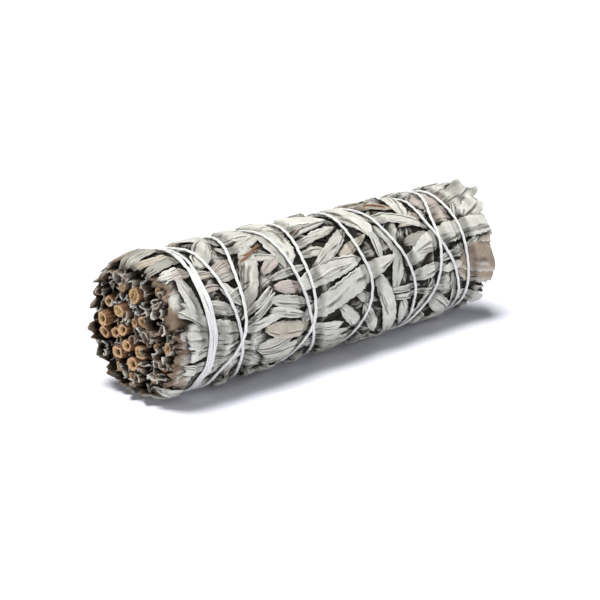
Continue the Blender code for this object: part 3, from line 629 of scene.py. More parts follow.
def section(kind, v, sway):
    """A leaf's cross-section: share of the half width, and of the rise, from rim to rim."""
    away = np.abs(v)
    if kind == "tucked":
        return np.sin(v * 1.72), ((np.cos(v * 1.72) + 0.15) / 1.15) * np.abs(np.cos(v)) ** 0.3
    if kind == "arched":
        return v, 1 - away**2.4
    if kind == "trough":
        return 0.97 * v, away**1.5
    if kind == "rolled":
        return 0.72 * np.sin(v * 2.3), (1 - np.cos(v * 2.3)) * 0.62
    if kind == "folded":
        lower = v < 0.05
        offset = np.where(lower, -1 + 2 * (v + 1) / 1.05, 1 - 1.45 * (v - 0.05) / 0.95)
        flap = 0.62 + 0.38 * np.sin(np.clip(v, 0, 1) * math.pi)
        return offset, np.where(lower, 0.25 * (1 - offset**2), flap)
    return 0.92 * v, np.abs(np.cos((v + sway) * 4.3 + 0.6)) ** 0.8


def crumple(rng, along, across, strength):
    """Small waves and creases of a dried leaf, in millimetres."""
    total = np.zeros(np.broadcast(along, across).shape)
    for size, share in ((13.0, 0.45), (7.0, 0.35), (3.6, 0.2)):
        turn, phase = rng.uniform(0, math.pi), rng.uniform(0, 2 * math.pi)
        folds = np.sin((along * math.cos(turn) + across * math.sin(turn)) * 2 * math.pi / size + phase)
        total = total + share * (folds if size > 10 else 1 - 2 * np.abs(folds))
    return total * strength


def smooth_over(ground, rounds):
    """A stiff sheet over a bumpy ground: smoothed, but never under it."""
    sheet = ground
    for _ in range(rounds):
        padded = np.pad(sheet, 1, mode="edge")
        blurred = (padded[:-2, 1:-1] + padded[2:, 1:-1] + 2 * sheet) / 4
        padded = np.pad(blurred, 1, mode="edge")
        blurred = (padded[1:-1, :-2] + padded[1:-1, 2:] + 2 * blurred) / 4
        sheet = np.maximum(ground, blurred)
    return sheet


def wave(rng, places, pitch):
    """A wave over some places, with a phase of its own."""
    return np.sin(places * pitch + rng.uniform(0, 6))


class Leaf:
    """One leaf laid on the skin: its places and radius on a grid, and how it looks."""

    def __init__(self, centre, side, kind, rise, rng, columns=8, crumpling=0.25, floor=None):
        self.centre, self.side, self.kind, self.rise = centre, side, kind, rise
        self.columns, self.crumpling, self.floor, self.rng = columns, crumpling, floor, rng
        self.tint, self.age_root, self.ragged, self.lift = pick_tint(rng), 0.0, 0.0, 0.0
        self.lean = (rng.uniform(-0.42, 0.42), rng.uniform(-0.25, 0.25), rng.uniform(0, 6))

    def lay(self, skin, owner):
        """Lays the leaf over what is there: stiff, creased, leaning to one side and torn at the cut end."""
        rng = self.rng
        rows, columns = len(self.centre) - 1, self.columns
        u = np.linspace(0, 1, rows + 1)[:, None]
        v = np.linspace(-1, 1, columns + 1)
        sway = 0.35 * wave(rng, u, rng.uniform(3, 9)) + rng.uniform(-0.2, 0.2) * u
        offset, height = section(self.kind, v, sway)
        steps = np.hypot(*np.diff(self.centre, axis=0, prepend=self.centre[:1]).T)
        along = np.cumsum(steps)[:, None]
        half = np.hypot(*self.side.T)[:, None]
        spots = np.linspace(-1, 1, 7)
        ground = skin.high[skin.index(*self.places(spots))]
        if self.floor is not None:
            ground = np.maximum(ground, self.floor(u, spots))
        ground = smooth_over(ground, 10)
        rim = 1 + 0.05 * wave(rng, along, 1.9) + 0.04 * wave(rng, along, 4.1)
        x, angle = self.places(offset * np.where(v < 0, rim, 2 - rim))
        jag = wave(rng, v, rng.uniform(2, 5)) + 0.5 * wave(rng, v, rng.uniform(7, 11))
        at_end = self.ragged * np.exp(-((x - CUT_X) ** 2) / 5.0)
        x = x + at_end * jag
        base = np.array([np.interp(offset, spots, row) for row in ground])
        swell = 0.4 + 0.6 * np.sin(np.clip(u, 0.0, 1.0) * math.pi) ** 0.6
        radius = base + LEAF_T + LEAF_GAP + self.rise * height * swell * np.minimum(1, half / 2.0)
        radius = radius + np.maximum(crumple(rng, along, half * v, self.crumpling), -0.3)
        radius = radius + 0.45 * at_end * (np.sin(v * 6 + self.lean[2]) - 0.5)
        lean = self.lean[0] + self.lean[1] * np.sin(u * 5 + self.lean[2])
        radius = radius + np.minimum(np.abs(lean) * half * (1 + np.sign(lean) * offset), 1.5) * swell
        radius = radius - 0.9 * np.clip(1 - u / 0.08, 0, 1)
        limit = skin.ceiling[skin.index(x, angle)]
        radius = np.where(radius > limit, limit + 0.2 * (radius - limit), radius)
        radius = radius + self.lift * np.clip((u - 0.3) / 0.7, 0, 1) ** 1.6
        self.x, self.angle, self.radius, self.owner = x, angle, radius, owner
        left, right = linear_weights(rows + 1, LEAF_SAMPLES), linear_weights(columns + 1, LEAF_SAMPLES).T
        samples = [(left @ grid @ right).ravel() for grid in (x, angle, radius)]
        skin.add(*samples, owner, LEAF_T)
        self.along, self.across = np.broadcast_to(along, x.shape), np.broadcast_to(v, x.shape)

    def places(self, across):
        """The x and angle of places across the leaf, from -1 at one rim to 1 at the other."""
        x = self.centre[:, :1] + self.side[:, :1] * across
        return x, (self.centre[:, 1:] + self.side[:, 1:] * across) / ARC_R


def keep_leaf(leaf, skin, leaves, root_angle):
    """Lays a leaf that grows from the strand under its root."""
    leaf.lay(skin, int(strand_owner(root_angle)))
    leaves.append(leaf)


def ribbon(root_x, root_angle, heading, length, width, curve, rows, outline="leaf"):
    """Centre line and half-width vector of a leaf, in millimetres of x and of arc."""
    u = np.linspace(0, 1, rows + 1)
    turn = heading + curve * (u - 0.5)
    steps = np.diff(u, prepend=0.0) * length
    centre = np.stack(
        [root_x + np.cumsum(steps * np.cos(turn)), root_angle * ARC_R + np.cumsum(steps * np.sin(turn))], -1
    )
    side = np.stack([-np.sin(turn), np.cos(turn)], -1) * (leaf_outline(outline, u) * width / 2)[:, None]
    return centre, side


def ribbon_of_blade(x, angle, outer, rows):
    """The same for a leaf of the solid model, with the height of its blade."""
    u = np.linspace(0, 1, rows + 1)
    columns = [np.interp(u, STATIONS, values) for values in (*x.T, *(angle * ARC_R).T)]
    centre = np.stack([columns[1], columns[4]], -1)
    side = np.stack([columns[2] - columns[0], columns[5] - columns[3]], -1) / 2
    heights = [np.interp(u, STATIONS, values) for values in outer.T]

    def floor(_, spots):
        return np.array([np.interp(spots, ACROSS, row) for row in zip(*heights)]) - BLADE_T

    return centre, side, floor


def ground_under(skin, centre, side):
    spots = np.array([-0.8, 0.0, 0.8])
    x = centre[:, :1] + side[:, :1] * spots
    angle = (centre[:, 1:] + side[:, 1:] * spots) / ARC_R
    cell = skin.index(x, angle)
    high = skin.high[cell]
    over = np.maximum(high + 0.9 - skin.ceiling[cell], 0.0)
    return float(high.mean() + 1.2 * over.mean() + 0.25 * high.max())


def pick_tint(rng):
    """Most leaves are pale grey green, some greyer, and a few pinkish or tan."""
    low, high = rng.choices(((0.0, 0.5), (0.5, 0.72), (0.77, 0.84), (0.86, 0.93)), weights=(80, 12, 5, 3))[0]
    return rng.uniform(low, high)


def pick_kind(rng, shares):
    return rng.choices(KINDS, weights=shares)[0]


def lay_fillers(skin, leaves, rng, count):
    """Small leaves in any direction, each in the lowest place among a few."""
    for number in range(count):
        best = None
        share = number / count
        for _ in range(FILLER_TRIES):
            width = rng.uniform(3.2, 6.2) if share < 0.5 else rng.uniform(2.0, 4.4)
            length = rng.uniform(20.0, 40.0) if share < 0.6 else rng.uniform(12.0, 28.0)
            root_x = rng.uniform(-70.0, 62.0)
            heading = math.radians(rng.gauss(0.0, 38.0))
            if rng.random() < 0.3:
                heading += math.pi
            end = root_x + length * math.cos(heading)
            if end > TIP_X + 3 or end < CUT_X:
                continue
            root_angle, curve = rng.uniform(-math.pi, math.pi), rng.uniform(-0.9, 0.9)
            centre, side = ribbon(root_x, root_angle, heading, length, width, curve, 8)
            score = ground_under(skin, centre, side)
            if best is None or score < best[0]:
                best = (score, root_x, centre[0, 1] / ARC_R, heading, length, width, rng.uniform(-0.9, 0.9))
        if best is None:
            continue
        root_angle, length = best[2], best[4]
        centre, side = ribbon(*best[1:], max(10, round(length / 1.4)))
        kind = pick_kind(rng, (5, 2.5, 2, 2, 2, 3))
        leaf = Leaf(centre, side, kind, rng.uniform(0.8, 2.0), rng, 8 if kind in ("folded", "rolled") else 6)
        leaf.crumpling = rng.uniform(0.2, 0.55)
        keep_leaf(leaf, skin, leaves, root_angle)


def lay_end_leaves(skin, leaves, rng):
    """Leaf bases cut off round the stems, and free tips at the other end."""
    for number in range(BASE_LEAVES):
        angle = -math.pi + 2 * math.pi * (number * GOLDEN % 1.0)
        length, width = rng.uniform(9.0, 20.0), rng.uniform(4.5, 9.0)
        root_x, heading = CUT_X + rng.uniform(-1.5, 3.0), math.radians(rng.gauss(0, 22))
        centre, side = ribbon(root_x, angle, heading, length, width, rng.uniform(-0.8, 0.8), 16, "cut")
        leaf = Leaf(centre, side, pick_kind(rng, (3, 2, 2, 2, 2, 5)), rng.uniform(0.5, 1.5), rng)
        leaf.crumpling, leaf.age_root, leaf.ragged = rng.uniform(0.4, 0.8), rng.uniform(0.5, 1.0), 1.2
        keep_leaf(leaf, skin, leaves, angle)
    for number in range(TIP_LEAVES):
        angle = -math.pi + 2 * math.pi * (number * GOLDEN % 1.0)
        length, width = rng.uniform(16.0, 28.0), rng.uniform(6.0, 10.0)
        tip_x, heading = TIP_X + rng.uniform(-6.0, 4.0), math.radians(rng.gauss(0, 16))
        root_x = tip_x - length * math.cos(heading)
        centre, side = ribbon(root_x, angle, heading, length, width, rng.uniform(-0.5, 0.5), 20)
        leaf = Leaf(centre, side, pick_kind(rng, (3, 3, 3, 1, 2, 1)), rng.uniform(0.4, 1.2), rng)
        leaf.crumpling, leaf.lift = rng.uniform(0.15, 0.35), rng.uniform(-1.5, 0.6)
        keep_leaf(leaf, skin, leaves, angle)


def lay_solid_copies(skin, leaves, blades, rng):
    """Finer copies of the solid model's leaves, at its own places and heights."""
    for x, angle, outer, node, rise, _ in blades:
        angle = np.unwrap(angle, axis=0)
        centre, side, floor = ribbon_of_blade(x, angle, outer, 30)
        kind = pick_kind(rng, (4, 3, 0, 1, 0, 2) if rise > 0 else (0, 0, 5, 2, 0, 3))
        leaf = Leaf(centre, side, kind, abs(rise), rng, 10, 0.22, floor)
        leaf.lay(skin, node)
        leaves.append(leaf)


def lay_front(skin, leaves, rng):
    """The leaves that show in front, one by one, each from a tenth of its length before its root."""
    for root_x, root_angle, tip_x, tip_angle, width, kind, rise, curve, tint in FRONT_LEAVES:
        root_x, root_angle = root_x - 0.1 * (tip_x - root_x), root_angle - 0.1 * (tip_angle - root_angle)
        across = math.radians(tip_angle - root_angle) * ARC_R
        length = math.hypot(tip_x - root_x, across)
        length = length * 1.04 if length > 14 else length * 1.25
        heading = math.atan2(across, tip_x - root_x)
        rows = max(14, round(length / 0.8))
        width = width * (1.0 if width > 11 else 0.76)
        outline = "cut" if min(root_x, tip_x) < -58 else "blunt" if tip_x > FREE_X else "leaf"
        root_angle = math.radians(root_angle)
        centre, side = ribbon(root_x, root_angle, heading, length, width, curve, rows, outline)
        leaf = Leaf(centre, side, kind, rise, rng, 12 if width > 7 or kind in ("folded", "rolled") else 8)
        leaf.tint = tint
        leaf.crumpling = {"pleated": 0.55, "tucked": 0.28, "arched": 0.35}.get(kind, 0.3)
        leaf.lift = 0.0 if tip_x < FREE_X else 5.2 if 50 < tip_angle < 80 else 1.2
        leaf.lean = tuple(value * (0.5 if width > 8 else 1.0) for value in leaf.lean)
        if outline == "cut":
            leaf.ragged, leaf.crumpling = 1.1, leaf.crumpling + 0.2
        keep_leaf(leaf, skin, leaves, root_angle)


def wind_string(skin):
    """World places of the string, drawn tight over the leaves and over its own first run."""
    turns, x, angle = string_run(1500)
    step = 2 * math.pi * (turns[1] - turns[0])
    side = np.array([-0.6, -0.2, 0.2, 0.6])
    radius = np.zeros(len(turns))
    split = int(np.searchsorted(turns, RETURN_TURN))
    for part in (slice(0, split), slice(split, len(turns))):
        need = np.max([skin.high[skin.index(x[part] + s, angle[part])] for s in side], axis=0)
        need = need * 0.5 + 0.5 * np.minimum(need, OUTER_R - STRING_BITE + 0.6) + STRING_R * 0.8
        tight = need.copy()
        for _ in range(400):
            between = (np.append(tight[1:], tight[-1]) + np.append(tight[0], tight[:-1])) / 2 * math.cos(step)
            tight = np.maximum(need, between)
        for _ in range(6):
            tight = (np.append(tight[1:], tight[-1]) + np.append(tight[0], tight[:-1]) + 2 * tight) / 4
        radius[part] = tight
        for s in np.linspace(-0.6, 0.6, 5):
            skin.add(x[part] + s, angle[part], tight + STRING_R, -1, STRING_R)
    return to_world(x, angle, radius)


class Plan:
    """All places, worked out once and used by the operators."""

    def __init__(self, filler_count):
        rng = random.Random(SEED)
        solid = Surface(step=0.5, columns=340, rows=360)
        keep_room_for_string(solid, np.linspace(-1.6, 1.6, 7), STRING_BITE, 0.0)
        blades = lay_solid_leaves(solid, rng)
        rng = random.Random(LEAF_SEED)
        skin = Surface(step=0.4, columns=425, rows=400)
        skin.ceiling[:] = OUTER_R + 0.3
        keep_room_for_string(skin, np.linspace(-4.0, 4.0, 21), STRING_BITE + 0.15, 0.32)
        self.leaves = []
        skin.lower_front(FINE_FRONT_ROOM)
        lay_solid_copies(skin, self.leaves, blades, rng)
        lay_end_leaves(skin, self.leaves, rng)
        lay_fillers(skin, self.leaves, rng, filler_count)
        skin.lower_front(-FINE_FRONT_ROOM)
        lay_front(skin, self.leaves, rng)
        self.cover = skin.radius.copy()
        self.string = wind_string(skin)
        self.skin = skin


plan = None


def the_plan():
    global plan
    if plan is None:
        plan = Plan(bpy.context.scene.sage_leaf.filler_count)
    return plan


def inside_points(x, y, z):
    """World points of places inside the bundle, given by y and z at the cut end and drawn in along it."""
    share = core_radius(x) / CELL_R
    return to_world(x, np.arctan2(z, -y), np.hypot(y, z) * share)


# Values kept on each leaf sheet; the last one is painted shade, darkening a leaf where it lies under others
LAYERS = ("along", "across", "tint", "age", "hollow")


def add_sheet(bm, points, values):
    """A sheet of leaf: a grid shaped to the points, which keeps its place and looks for the material."""
    rows, columns = points.shape[0] - 1, points.shape[1] - 1
    layers = [bm.verts.layers.float.get(name) or bm.verts.layers.float.new(name) for name in LAYERS]
    made = bmesh.ops.create_grid(bm, x_segments=rows, y_segments=columns, size=1.0)["verts"]
    table = [np.broadcast_to(value, points.shape[:2]) for value in values]
    for vert in made:
        i = round((vert.co.x + 1) / 2 * rows)
        j = round((vert.co.y + 1) / 2 * columns)
        vert.co = points[i, j]
        for layer, value in zip(layers, table):
            vert[layer] = float(value[i, j])


def piece(name, mesh, material, nodes=()):
    mesh.materials.append(material)
    obj = bpy.data.objects.new(name, mesh)
    bpy.context.scene.collection.objects.link(obj)
    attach(obj, "root")
    if nodes:
        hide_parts(*nodes)
    return obj


class Nodes:
    """Short way to add and link the nodes of a material."""

    def __init__(self, name):
        self.material = bpy.data.materials.new(name)
        self.material.use_nodes = True
        self.tree = self.material.node_tree
        self.shader = self.tree.nodes["Principled BSDF"]

    def add(self, kind, inputs=(), **settings):
        node = self.tree.nodes.new(kind)
        for key, value in settings.items():
            setattr(node, key, value)
        for key, value in dict(inputs).items():
            self.feed(node.inputs[key], value)
        return node

    def feed(self, socket, value):
        if isinstance(value, bpy.types.NodeSocket):
            self.tree.links.new(value, socket)
        else:
            socket.default_value = value

    def attribute(self, name):
        return self.add("ShaderNodeAttribute", attribute_name=name).outputs["Fac"]

    def coords(self):
        return self.add("ShaderNodeTexCoord").outputs["Object"]

    def noise(self, scale, detail=4.0, roughness=0.55, vector=None):
        inputs = {"Vector": vector or self.coords(), "Scale": scale, "Detail": detail, "Roughness": roughness}
        return self.add("ShaderNodeTexNoise", inputs).outputs["Fac"]

    def span(self, value, low, high, start=0.0, end=1.0):
        inputs = {"Value": value, "From Min": low, "From Max": high, "To Min": start, "To Max": end}
        return self.add("ShaderNodeMapRange", inputs).outputs["Result"]

    def math(self, operation, a, b=0.0):
        return self.add("ShaderNodeMath", {0: a, 1: b}, operation=operation).outputs[0]

    def mix(self, factor, a, b, blend="MIX"):
        node = self.add("ShaderNodeMix", data_type="RGBA", blend_type=blend)
        for socket, value in zip((node.inputs[0], node.inputs[6], node.inputs[7]), (factor, a, b)):
            self.feed(socket, value)
        return node.outputs[2]

    def ramp(self, factor, stops):
        node = self.add("ShaderNodeValToRGB", {"Fac": factor})
        ramp = node.color_ramp
        stops = sorted(stops)
        ramp.elements[0].position, ramp.elements[1].position = stops[0][0], stops[-1][0]
        for place, _ in stops[1:-1]:
            ramp.elements.new(place)
        for element, (_, colour) in zip(ramp.elements, stops):
            element.color = (*colour, 1.0)
        return node.outputs["Color"]

    def bump(self, height, distance, strength=1.0):
        node = self.add("ShaderNodeBump", {"Height": height, "Distance": distance, "Strength": strength})
        self.feed(self.shader.inputs["Normal"], node.outputs["Normal"])

    def finish(self, colour, roughness, **constants):
        self.feed(self.shader.inputs["Base Color"], colour)
        self.feed(self.shader.inputs["Roughness"], roughness)
        for name, value in constants.items():
            self.shader.inputs[name.replace("_", " ")].default_value = value
        return self.material


def rgba(colour, share=1.0):
    return (*(channel * share for channel in colour), 1.0)


def make_leaf_material(settings):
    n = Nodes("dried_leaf")
    main = settings.colour
    tint = n.ramp(
        n.attribute("tint"),
        (
            (0.0, [c * 1.1 for c in main]),
            (0.22, [c * 0.8 for c in main]),
            (0.42, [c * 1.04 for c in main]),
            (0.6, (0.5, 0.49, 0.435)),
            (0.73, (0.33, 0.325, 0.285)),
            (0.8, (0.57, 0.5, 0.46)),
            (0.88, (0.57, 0.52, 0.42)),
            (1.0, (0.27, 0.19, 0.14)),
        ),
    )
    mottle = n.span(n.noise(260.0, 5.0), 0.3, 0.7, 0.82, 1.1)
    mottle = n.math("MULTIPLY", mottle, n.span(n.noise(1700.0, 4.0, 0.7), 0.3, 0.7, 0.88, 1.08))
    grey = n.add("ShaderNodeCombineColor", {0: mottle, 1: mottle, 2: mottle}).outputs[0]
    colour = n.mix(1.0, tint, grey, "MULTIPLY")
    across = n.math("ABSOLUTE", n.attribute("across"))
    slope = n.math("MULTIPLY", across, 3.4)
    phase = n.math("SUBTRACT", n.math("MULTIPLY", n.attribute("along"), 2.7), slope)
    veins = n.span(n.math("SINE", phase), 0.8, 1.0)
    midrib = n.span(across, 0.03, 0.1, 1.0, 0.0)
    ribs = n.math("MAXIMUM", n.math("MULTIPLY", veins, 0.45), midrib)
    colour = n.mix(n.math("MULTIPLY", ribs, 0.07), colour, rgba((0.66, 0.66, 0.6)))
    rim = n.span(across, 0.84, 0.97, 0.0, 0.4)
    colour = n.mix(rim, colour, PALE_MARGIN_AND_HIGHLIGHT)
    # Each crease is a dark line, painted shade in the fold, with a pale band beside it as a painted
    # highlight; the line also dents the bump
    creases = 0.0
    for turns, share in ((37.0, 0.9), (91.0, 0.75), (53.0, 0.6)):
        chance = n.math("FRACT", n.math("MULTIPLY", n.attribute("tint"), turns))
        wander = n.span(n.noise(40.0 + turns * 0.4, 0.0), 0.3, 0.7, -0.22, 0.22)
        place = n.math("ADD", n.math("SUBTRACT", n.math("MULTIPLY", chance, 1.5), 0.75), wander)
        off = n.math("SUBTRACT", n.attribute("across"), place)
        fading = n.span(n.noise(90.0 + turns, 0.0), 0.44, 0.56)
        line = n.math("MULTIPLY", n.span(n.math("ABSOLUTE", off), 0.02, 0.12, share, 0.0), fading)
        beside = n.span(n.math("ABSOLUTE", n.math("SUBTRACT", off, 0.17)), 0.0, 0.1, 0.45, 0.0)
        colour = n.mix(n.math("MULTIPLY", beside, fading), colour, PALE_MARGIN_AND_HIGHLIGHT)
        colour = n.mix(line, colour, rgba((0.07, 0.058, 0.045)))
        creases = n.math("MAXIMUM", creases, line)
    withered = n.mix(n.noise(500.0, 5.0), rgba(settings.withered), rgba((0.41, 0.31, 0.22)))
    uneven = n.math("ADD", n.attribute("age"), n.span(n.noise(330.0, 4.0), 0.3, 0.7, -0.25, 0.25))
    colour = n.mix(n.span(uneven, 0.15, 0.75), colour, withered)
    # Painted shade: darkens the leaf towards near black where it lies under other leaves
    colour = n.mix(n.math("MULTIPLY", n.attribute("hollow"), 0.96), colour, DEEP_SHADE)
    felt = n.noise(5200.0, 2.0)
    inputs = {"Vector": n.coords(), "Scale": 1500.0}
    net = n.add("ShaderNodeTexVoronoi", inputs, feature="DISTANCE_TO_EDGE").outputs[0]
    height = n.math("ADD", n.math("MULTIPLY", felt, 0.5), n.math("MULTIPLY", n.span(net, 0.0, 0.25), 0.5))
    height = n.math("ADD", height, n.math("MULTIPLY", ribs, -0.35))
    height = n.math("ADD", height, n.math("MULTIPLY", creases, -1.5))
    height = n.math("ADD", height, n.math("MULTIPLY", n.noise(480.0, 6.0, 0.65), 4.5))
    n.bump(height, 0.0002, 0.9)
    return n.finish(colour, n.span(n.noise(900.0), 0.3, 0.7, 0.78, 0.95), Specular_IOR_Level=0.05)


def make_core_material():
    n = Nodes("packed_leaf_painted_shade")
    # Inner leaves coloured nearly black: painted shade for the gaps between the outer leaves
    colour = n.ramp(n.noise(420.0, 6.0, 0.7), ((0.35, (0.01, 0.008, 0.006)), (0.7, (0.06, 0.05, 0.04))))
    n.bump(n.noise(700.0, 5.0), 0.0006)
    return n.finish(colour, 0.9, Specular_IOR_Level=0.05)


def make_bark_material(settings):
    n = Nodes("sage_stem")
    zone = n.attribute("zone")
    inputs = {"Vector": n.coords(), "Scale": (0.12, 1.0, 1.0)}
    streak = n.add("ShaderNodeMapping", inputs).outputs["Vector"]
    grain = n.span(n.noise(1300.0, 5.0, 0.65, streak), 0.36, 0.64)
    bark = n.mix(grain, rgba(settings.bark, 0.25), rgba(settings.bark, 1.5))
    wood = n.mix(n.span(n.noise(1500.0, 4.0), 0.35, 0.65), rgba(settings.wood, 0.5), rgba(settings.wood, 1.2))
    pith = n.mix(n.span(n.noise(1100.0, 4.0), 0.35, 0.65), rgba(settings.pith, 0.3), rgba(settings.pith, 1.3))
    colour = n.mix(n.span(zone, 0.15, 0.45), bark, wood)
    colour = n.mix(n.span(zone, 0.9, 1.3), colour, pith)
    # Near black inside the hollow of the pith: painted shade in the recess
    colour = n.mix(n.span(zone, 2.0, 2.6), colour, rgba((0.015, 0.008, 0.005)))
    # Near black where the stem runs inside the bundle: painted shade among the leaves
    colour = n.mix(n.span(zone, -1.0, 0.0, 0.92, 0.0), colour, rgba((0.012, 0.008, 0.006)))
    in_cut = n.span(zone, 0.4, 0.7)
    cracks = n.math("MULTIPLY", in_cut, n.span(n.noise(1500.0, 3.0, 0.7), 0.5, 0.64, 0.0, 0.75))
    colour = n.mix(cracks, colour, rgba((0.05, 0.025, 0.012)))
    n.bump(n.noise(1800.0, 4.0, 0.6, streak), 0.0005)
    return n.finish(colour, n.span(n.noise(800.0), 0.3, 0.7, 0.6, 0.85), Specular_IOR_Level=0.35)


def make_string_material(settings):
    n = Nodes("cotton_string")
    fibre = n.noise(3800.0, 3.0)
    colour = n.mix(n.span(fibre, 0.3, 0.7), rgba(settings.colour, 0.7), rgba(settings.colour, 1.08))
    n.bump(fibre, 0.0002, 0.8)
    return n.finish(colour, 0.9, Specular_IOR_Level=0.2, Sheen_Weight=0.3, Sheen_Roughness=0.5)


def grid_cell(place):
    """The row or column of a place on the grid of an end."""
    return np.clip((place / GRID_CELL + GRID_CELLS // 2).astype(int), 0, GRID_CELLS - 1)


def strips_for_end(rng, at_cut):
    """Crumpled strips of leaf seen on edge, beside each other and round the stems: (strand, y, z)."""
    tries, widths, wander, crowding = (3600, (2.2, 8.0), 0.8, 0.05) if at_cut else (900, (4.0, 9.0), 0.5, 0.1)
    taken = np.zeros((GRID_CELLS, GRID_CELLS), bool)
    if at_cut:
        grid = (np.arange(GRID_CELLS) - GRID_CELLS // 2 + 0.5) * GRID_CELL
        for y, z, diameter, _ in STEMS:
            taken |= np.hypot(grid[:, None] - y, grid[None, :] - z) < diameter / 2 + 0.15
    t = STRIP_PLACES
    numbers = range(len(t))
    fine = np.linspace(0, numbers[-1], 72)
    found = []
    for _ in range(tries):
        place = math.sqrt(rng.random()) * END_R
        turn = rng.uniform(-math.pi, math.pi)
        y, z = place * math.cos(turn), place * math.sin(turn)
        heading = turn + math.pi / 2 + rng.gauss(0, wander)
        width = rng.uniform(*widths)
        waves, phase = rng.uniform(0.8, 2.2), rng.uniform(0, 6.28)
        amplitude = rng.uniform(0.4, 1.3) * min(1.0, width / 5)
        bend = rng.uniform(-0.2, 0.06) * width
        folds = np.sin(waves * math.pi * t + phase) + 0.3 * np.sin(waves * 8 * t + 2 * phase)
        away = amplitude * folds + bend * t * t
        strip_y = y + math.cos(heading) * t * width / 2 - math.sin(heading) * away
        strip_z = z + math.sin(heading) * t * width / 2 + math.cos(heading) * away
        i, j = (grid_cell(np.interp(fine, numbers, places)) for places in (strip_y, strip_z))
        if taken[i, j].mean() > crowding or np.hypot(strip_y, strip_z).max() > END_EDGE_R:
            continue
        for dy in (-1, 0, 1):
            for dz in (-1, 0, 1):
                taken[np.clip(i + dy, 0, GRID_CELLS - 1), np.clip(j + dz, 0, GRID_CELLS - 1)] = True
        apart = [math.hypot(y - stem[0], z - stem[1]) for stem in STEMS]
        found.append((apart.index(min(apart)), strip_y, strip_z))
    return found


def add_cut_strips(meshes, rng):
    """Withered leaf bases between the stems, cut off near the cut plane."""
    t = STRIP_PLACES
    s = np.array([0.0, 0.5, 0.74, 0.87, 0.95, 1.0])[:, None]
    for strand, y, z in strips_for_end(rng, True):
        among_stems = y.mean() > -4 and abs(z.mean()) < 15
        out = CUT_X + (rng.uniform(-1.4, 3.2) if among_stems else rng.uniform(-3.0, 1.6))
        slant, jag = rng.uniform(-1.3, 1.3), rng.uniform(0.2, 0.6)
        start = -60.0 + rng.uniform(-2, 2)
        end = out + slant * t + jag * wave(rng, t, rng.uniform(2.5, 7))
        x = start + (end - start) * s
        drift_y = 0.5 * np.sin(s * 5 + t * 4 + rng.uniform(0, 6)) * s
        drift_z = 0.5 * np.sin(s * 4 - t * 5 + rng.uniform(0, 6)) * s
        # Less withered at the very end of a strip, a painted highlight on its cut edge; the last value is
        # painted shade, darker the deeper the strip lies behind the cut
        age = 0.68 + rng.uniform(-0.3, 0.35) - rng.uniform(0.1, 0.5) * (s > 0.96)
        values = (start - x, t, rng.random(), age, np.clip((1 - s) * 4.6, 0, 0.98))
        add_sheet(meshes[strand], inside_points(x, y + drift_y, z + drift_z) * MM, values)


def add_tip_strips(meshes, rng):
    """Torn and curled leaf tips inside the other end."""
    t = STRIP_PLACES
    s = np.linspace(0, 1, 9)[:, None]
    start, taper = 49.0, 1 - 0.85 * s**3
    for strand, y, z in strips_for_end(rng, False):
        middle_y, middle_z = y.mean(), z.mean()
        out = 72.0 + rng.uniform(-5.0, 5.5) * (1 if abs(middle_y) + abs(middle_z) < 22 else 0.6)
        curl = rng.uniform(-3.2, 3.2) * s**3
        y = middle_y + (y - middle_y) * taper + curl
        z = middle_z + (z - middle_z) * taper + curl * rng.uniform(-1, 1)
        x = start + (out - start) * (s - 0.08 * s * t * t)
        # The last value is painted shade, darker the deeper the strip lies inside the end
        values = (x - start, t, pick_tint(rng), 0.1 * rng.random(), np.clip(0.9 - 1.3 * s, 0, 1))
        add_sheet(meshes[strand], inside_points(x, y, z) * MM, values)


def next_ring(bm, face, level):
    """Extrudes the open end of a solid to its next ring, and returns the face there."""
    made = bmesh.ops.extrude_face_region(bm, geom=[face])["geom"]
    if level > 1:
        bmesh.ops.delete(bm, geom=[face], context="FACES_ONLY")
    return next(part for part in made if isinstance(part, bmesh.types.BMFace))


def smooth_mesh(name, bm, closed=False):
    """A smooth mesh; the ends of a closed solid are cut into triangles and its faces turned outwards."""
    if closed:
        bmesh.ops.triangulate(bm, faces=[f for f in bm.faces if len(f.verts) > 4])
        bmesh.ops.recalc_face_normals(bm, faces=bm.faces)
    mesh = bpy.data.meshes.new(name)
    bm.to_mesh(mesh)
    bm.free()
    mesh.shade_smooth()
    return mesh


